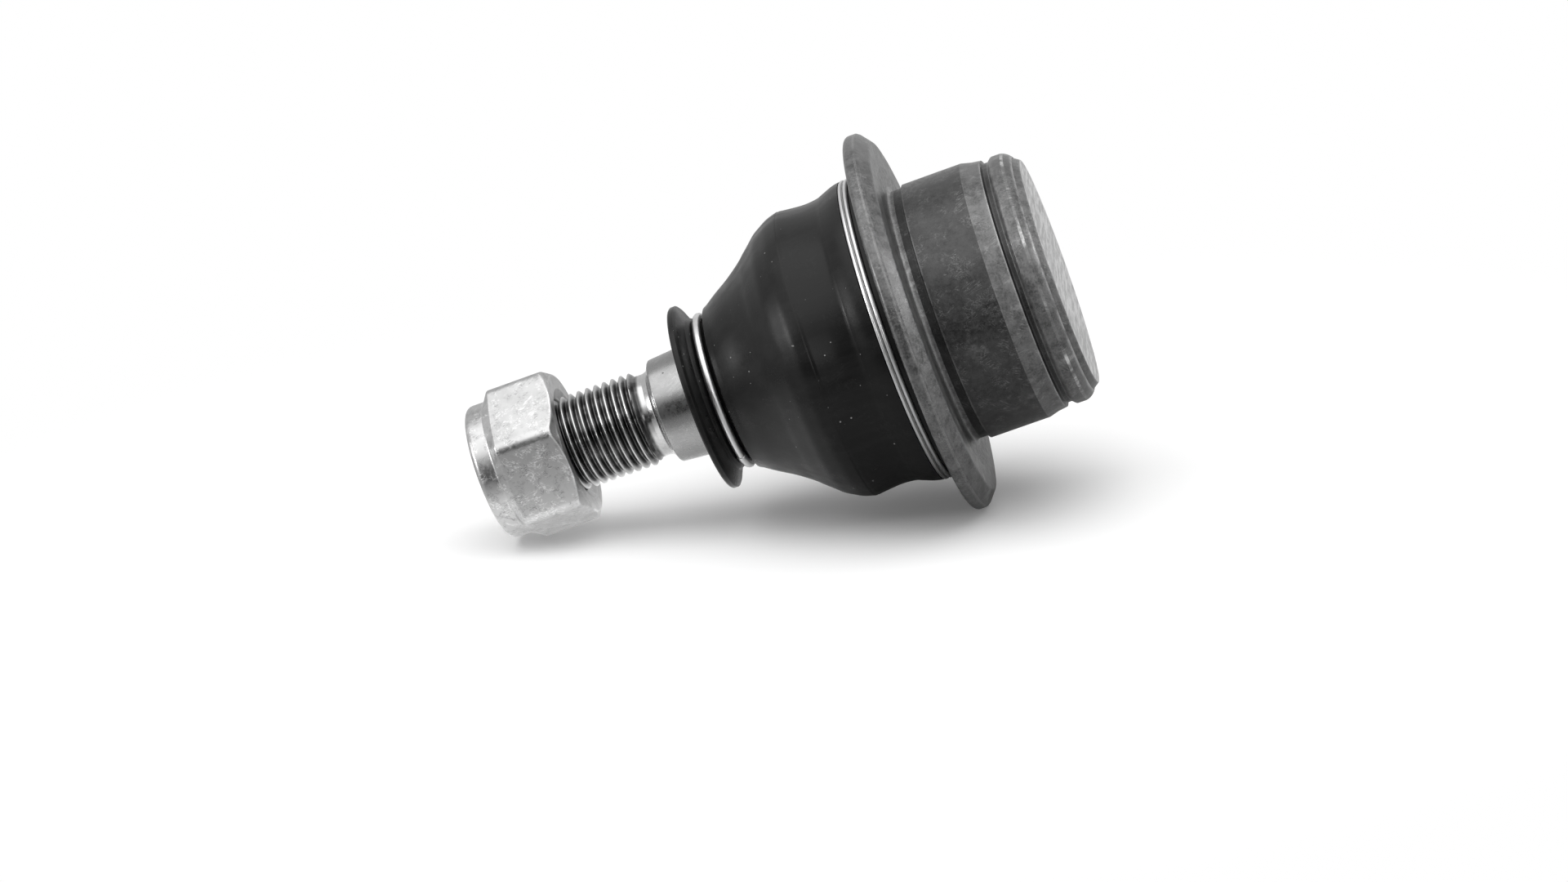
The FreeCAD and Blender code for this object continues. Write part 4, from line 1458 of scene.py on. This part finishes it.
@dataclass
class Studio:
    """The camera, the pale table that the joint lies on and the soft light round it."""

    eye: tuple[float, float, float] = (0.0, -0.7125, -0.0673)
    look: tuple[float, float, float] = (-0.0156, 0.9901, 0.1398)
    up: tuple[float, float, float] = (0.9423, 0.0613, -0.3292)
    lens: float = 100.0
    sensor: float = 36.0
    table_tilt: float = 15.0
    table_lean: float = -12.5
    flange_radius: float = 32.5
    flange_level: float = 6.02
    fill: float = 0.6
    mirrored: float = 0.78
    table_tone: float = 0.9
    table_glow: float = 0.07
    # Painted light seen in bright metal alone: a paler, glowing pool on the table under the joint.
    painted_pool_glow: float = 0.55
    painted_pool_span: Point = (0.02, 0.05)
    painted_pool_shift: float = 0.036
    painted_pool_edge: float = 0.52
    table_fade: Point = (0.07, 0.19)
    table_half: Point = (1.2, 1.2)
    flag_place: tuple[float, float, float] = (-0.34, -0.17, 0.5)
    flag_half: Point = (0.45, 0.28)
    flag_tone: float = 0.03
    flag_fade: Point = (0.18, 0.28)
    box_distance: float = 0.5
    top_box_place: Point = (0.53, 0.15)

    def axes(self) -> tuple[Vector, Vector, Vector]:
        """The camera's right, up and backward directions.

        Returns:
            Three unit directions.
        """
        back = -Vector(self.look).normalized()
        right = Vector(self.up).cross(back).normalized()
        return right, back.cross(right), back

    def table_up(self) -> Vector:
        """The direction that the table faces: square to the line from the flange's rim to the nut.

        Returns:
            A unit direction.
        """
        tilt, lean = math.radians(self.table_tilt), math.radians(self.table_lean)
        out = Vector((math.cos(lean), math.sin(lean), 0.0))
        return out * math.cos(tilt) - Vector((0, 0, 1)) * math.sin(tilt)

    def place_camera(self) -> None:
        """Puts the camera where the photograph was taken from."""
        data = bpy.data.cameras.new("camera")
        data.lens, data.sensor_width = self.lens, self.sensor
        data.clip_start, data.clip_end = 0.01, 20.0
        camera = in_scene("camera", data)
        camera.matrix_world = Matrix.Translation(self.eye) @ Matrix(self.axes()).transposed().to_4x4()
        bpy.context.scene.camera = camera

    def panel(self, name: str, centre: Vector, normal: Vector, wide: Vector, half: Point) -> bpy.types.Object:
        """A flat stage panel.

        Args:
            name: Its name.
            centre: Its middle.
            normal: The way it faces.
            wide: A direction along its first side.
            half: Half its two sides, in metres.

        Returns:
            The panel.
        """
        along = (wide - normal * wide.dot(normal)).normalized()
        across = normal.cross(along)
        signs = ((-1, -1), (1, -1), (1, 1), (-1, 1))
        points = [centre + along * half[0] * a + across * half[1] * b for a, b in signs]
        mesh = bpy.data.meshes.new(name)
        mesh.from_pydata([tuple(p) for p in points], [], [(0, 1, 2, 3)])
        panel = in_scene(name, mesh)
        return panel

    def end_clear(self, bench: NodeBench, shown: bpy.types.Node, gone: Socket) -> None:
        """Ends a stage material that is clear as far as the mask says.

        Args:
            bench: The material's nodes.
            shown: Its shader where the mask is 0.
            gone: The mask.
        """
        clear = bench.add("ShaderNodeBsdfTransparent")
        mixed = bench.add("ShaderNodeMixShader", {0: gone, 1: shown.outputs[0], 2: clear.outputs[0]})
        bench.add("ShaderNodeOutputMaterial", {"Surface": mixed.outputs[0]})

    def table_material(self, middle: Vector) -> bpy.types.Material:
        """White card that keeps the joint's shadow and fades into the white round it; in reflections it holds a
        painted, glowing pool of light round the joint and is darker away from it.

        Args:
            middle: The point that it fades away from.

        Returns:
            The material.
        """
        material = bpy.data.materials.new("white_table")
        bench = fresh_nodes(material)
        place = bench.add("ShaderNodeTexCoord").outputs["Object"]
        near = bench.distance(place, middle + Vector((0, 0, self.painted_pool_shift)))
        ray = bench.add("ShaderNodeLightPath").outputs
        mirrored = ray["Is Glossy Ray"]
        # Painted light for glossy rays: the table is paler and glows near the joint, darker further off.
        painted_pool_tone = bench.ramp(near, *self.painted_pool_span, 1.0, self.painted_pool_edge)
        tone = bench.times(self.table_tone, bench.ramp(mirrored, 0.0, 1.0, 1.0, painted_pool_tone, soft=False))
        paint = bench.add("ShaderNodeBsdfDiffuse", {"Color": tone})
        lit = bench.times(ray["Is Camera Ray"], self.table_glow)
        painted_pool_gleam = bench.times(mirrored, bench.ramp(near, *self.painted_pool_span, self.painted_pool_glow, 0.0))
        glow = bench.add("ShaderNodeEmission", {"Color": grey(1.0), "Strength": bench.plus(lit, painted_pool_gleam)})
        card = bench.add("ShaderNodeAddShader", {0: paint.outputs[0], 1: glow.outputs[0]})
        behind = bench.add("ShaderNodeNewGeometry").outputs["Backfacing"]
        faded = bench.ramp(bench.distance(place, middle), *self.table_fade)
        self.end_clear(bench, card, bench.calc("MAXIMUM", faded, behind))
        return material

    def lay_table(self) -> None:
        """Lays the table under the flange's rim and the nut."""
        up = self.table_up()
        out = Vector((up.x, up.y, 0.0)).normalized()
        touch = (Vector((0, 0, self.flange_level)) - out * self.flange_radius) * MM
        middle = touch + MIDDLE
        middle -= up * (middle - touch).dot(up)
        table = self.panel("table", middle, up, self.axes()[0], self.table_half)
        table.data.materials.append(self.table_material(middle))

    def hang_flag(self) -> None:
        """Hangs the dark card round the camera that bright metal shows as a band."""
        right, up, back = self.axes()
        aside, above, behind = self.flag_place
        middle = MIDDLE + back * behind + up * above + right * aside
        flag = self.panel("dark_flag", middle, -back, right, self.flag_half)
        material = bpy.data.materials.new("black_card")
        bench = fresh_nodes(material)
        card = bench.add("ShaderNodeBsdfDiffuse", {"Color": grey(self.flag_tone)})
        place = bench.add("ShaderNodeTexCoord").outputs["Object"]
        off = bench.add("ShaderNodeVectorMath", {0: place, 1: tuple(middle)}, operation="SUBTRACT").outputs[0]
        raised = bench.add("ShaderNodeVectorMath", {0: off, 1: tuple(up)}, operation="DOT_PRODUCT")
        height = bench.calc("ABSOLUTE", raised.outputs["Value"])
        self.end_clear(bench, card, bench.ramp(height, *self.flag_fade))
        flag.data.materials.append(material)
        flag.visible_camera = flag.visible_diffuse = flag.visible_shadow = False
        flag.visible_transmission = False

    def soft_boxes(self) -> list[SoftBox]:
        """The large box over the table, and three small ones for the bright metal alone.

        Returns:
            The soft boxes.
        """
        raised, behind = self.top_box_place
        over_table = self.table_up() * raised + self.axes()[2] * behind + MIDDLE
        ways = ((0.395, -0.453, 0.799), (0.2, -0.03, -0.98), (0.05, -0.97, -0.2))
        left, right, front = (Vector(way) * self.box_distance for way in ways)
        return [
            SoftBox("top_box", over_table, size=(0.8, 1.1), watts=4.3, lights_matt=True),
            SoftBox("left_strip", left, size=(0.18, 0.05), watts=0.8),
            SoftBox("right_strip", right, size=(0.3, 0.1), watts=0.55),
            SoftBox("front_spot", front, size=(0.06, 0.09), watts=0.2),
        ]

    def light(self) -> None:
        """Sets the white surroundings and the soft boxes."""
        world = bpy.data.worlds.new("white_studio")
        bpy.context.scene.world = world
        bench = fresh_nodes(world)
        ray = bench.add("ShaderNodeLightPath").outputs
        around = bench.ramp(ray["Is Glossy Ray"], 0.0, 1.0, self.fill, self.mirrored, soft=False)
        seen = bench.calc("MAXIMUM", ray["Is Camera Ray"], ray["Is Transmission Ray"])
        strength = bench.ramp(seen, 0.0, 1.0, around, 1.0, soft=False)
        glow = bench.add("ShaderNodeBackground", {"Color": grey(1.0), "Strength": strength})
        bench.add("ShaderNodeOutputWorld", {"Surface": glow.outputs[0]})
        for box in self.soft_boxes():
            box.hang()

    def build(self) -> None:
        """Sets up the whole studio."""
        bpy.context.scene.view_settings.view_transform = "Standard"
        self.place_camera()
        self.lay_table()
        self.hang_flag()
        self.light()


def main() -> None:
    """Builds the joint's sub-assemblies in order, then the studio."""
    logging.basicConfig(level=logging.INFO, format="%(name)s: %(message)s")
    for part in (HousingAssembly(), BallSeat(), BootAssembly(), StudAssembly(), NutAssembly(), Studio()):
        LOG.info("building %s", type(part).__name__)
        part.build()


if __name__ == "__main__":
    main()
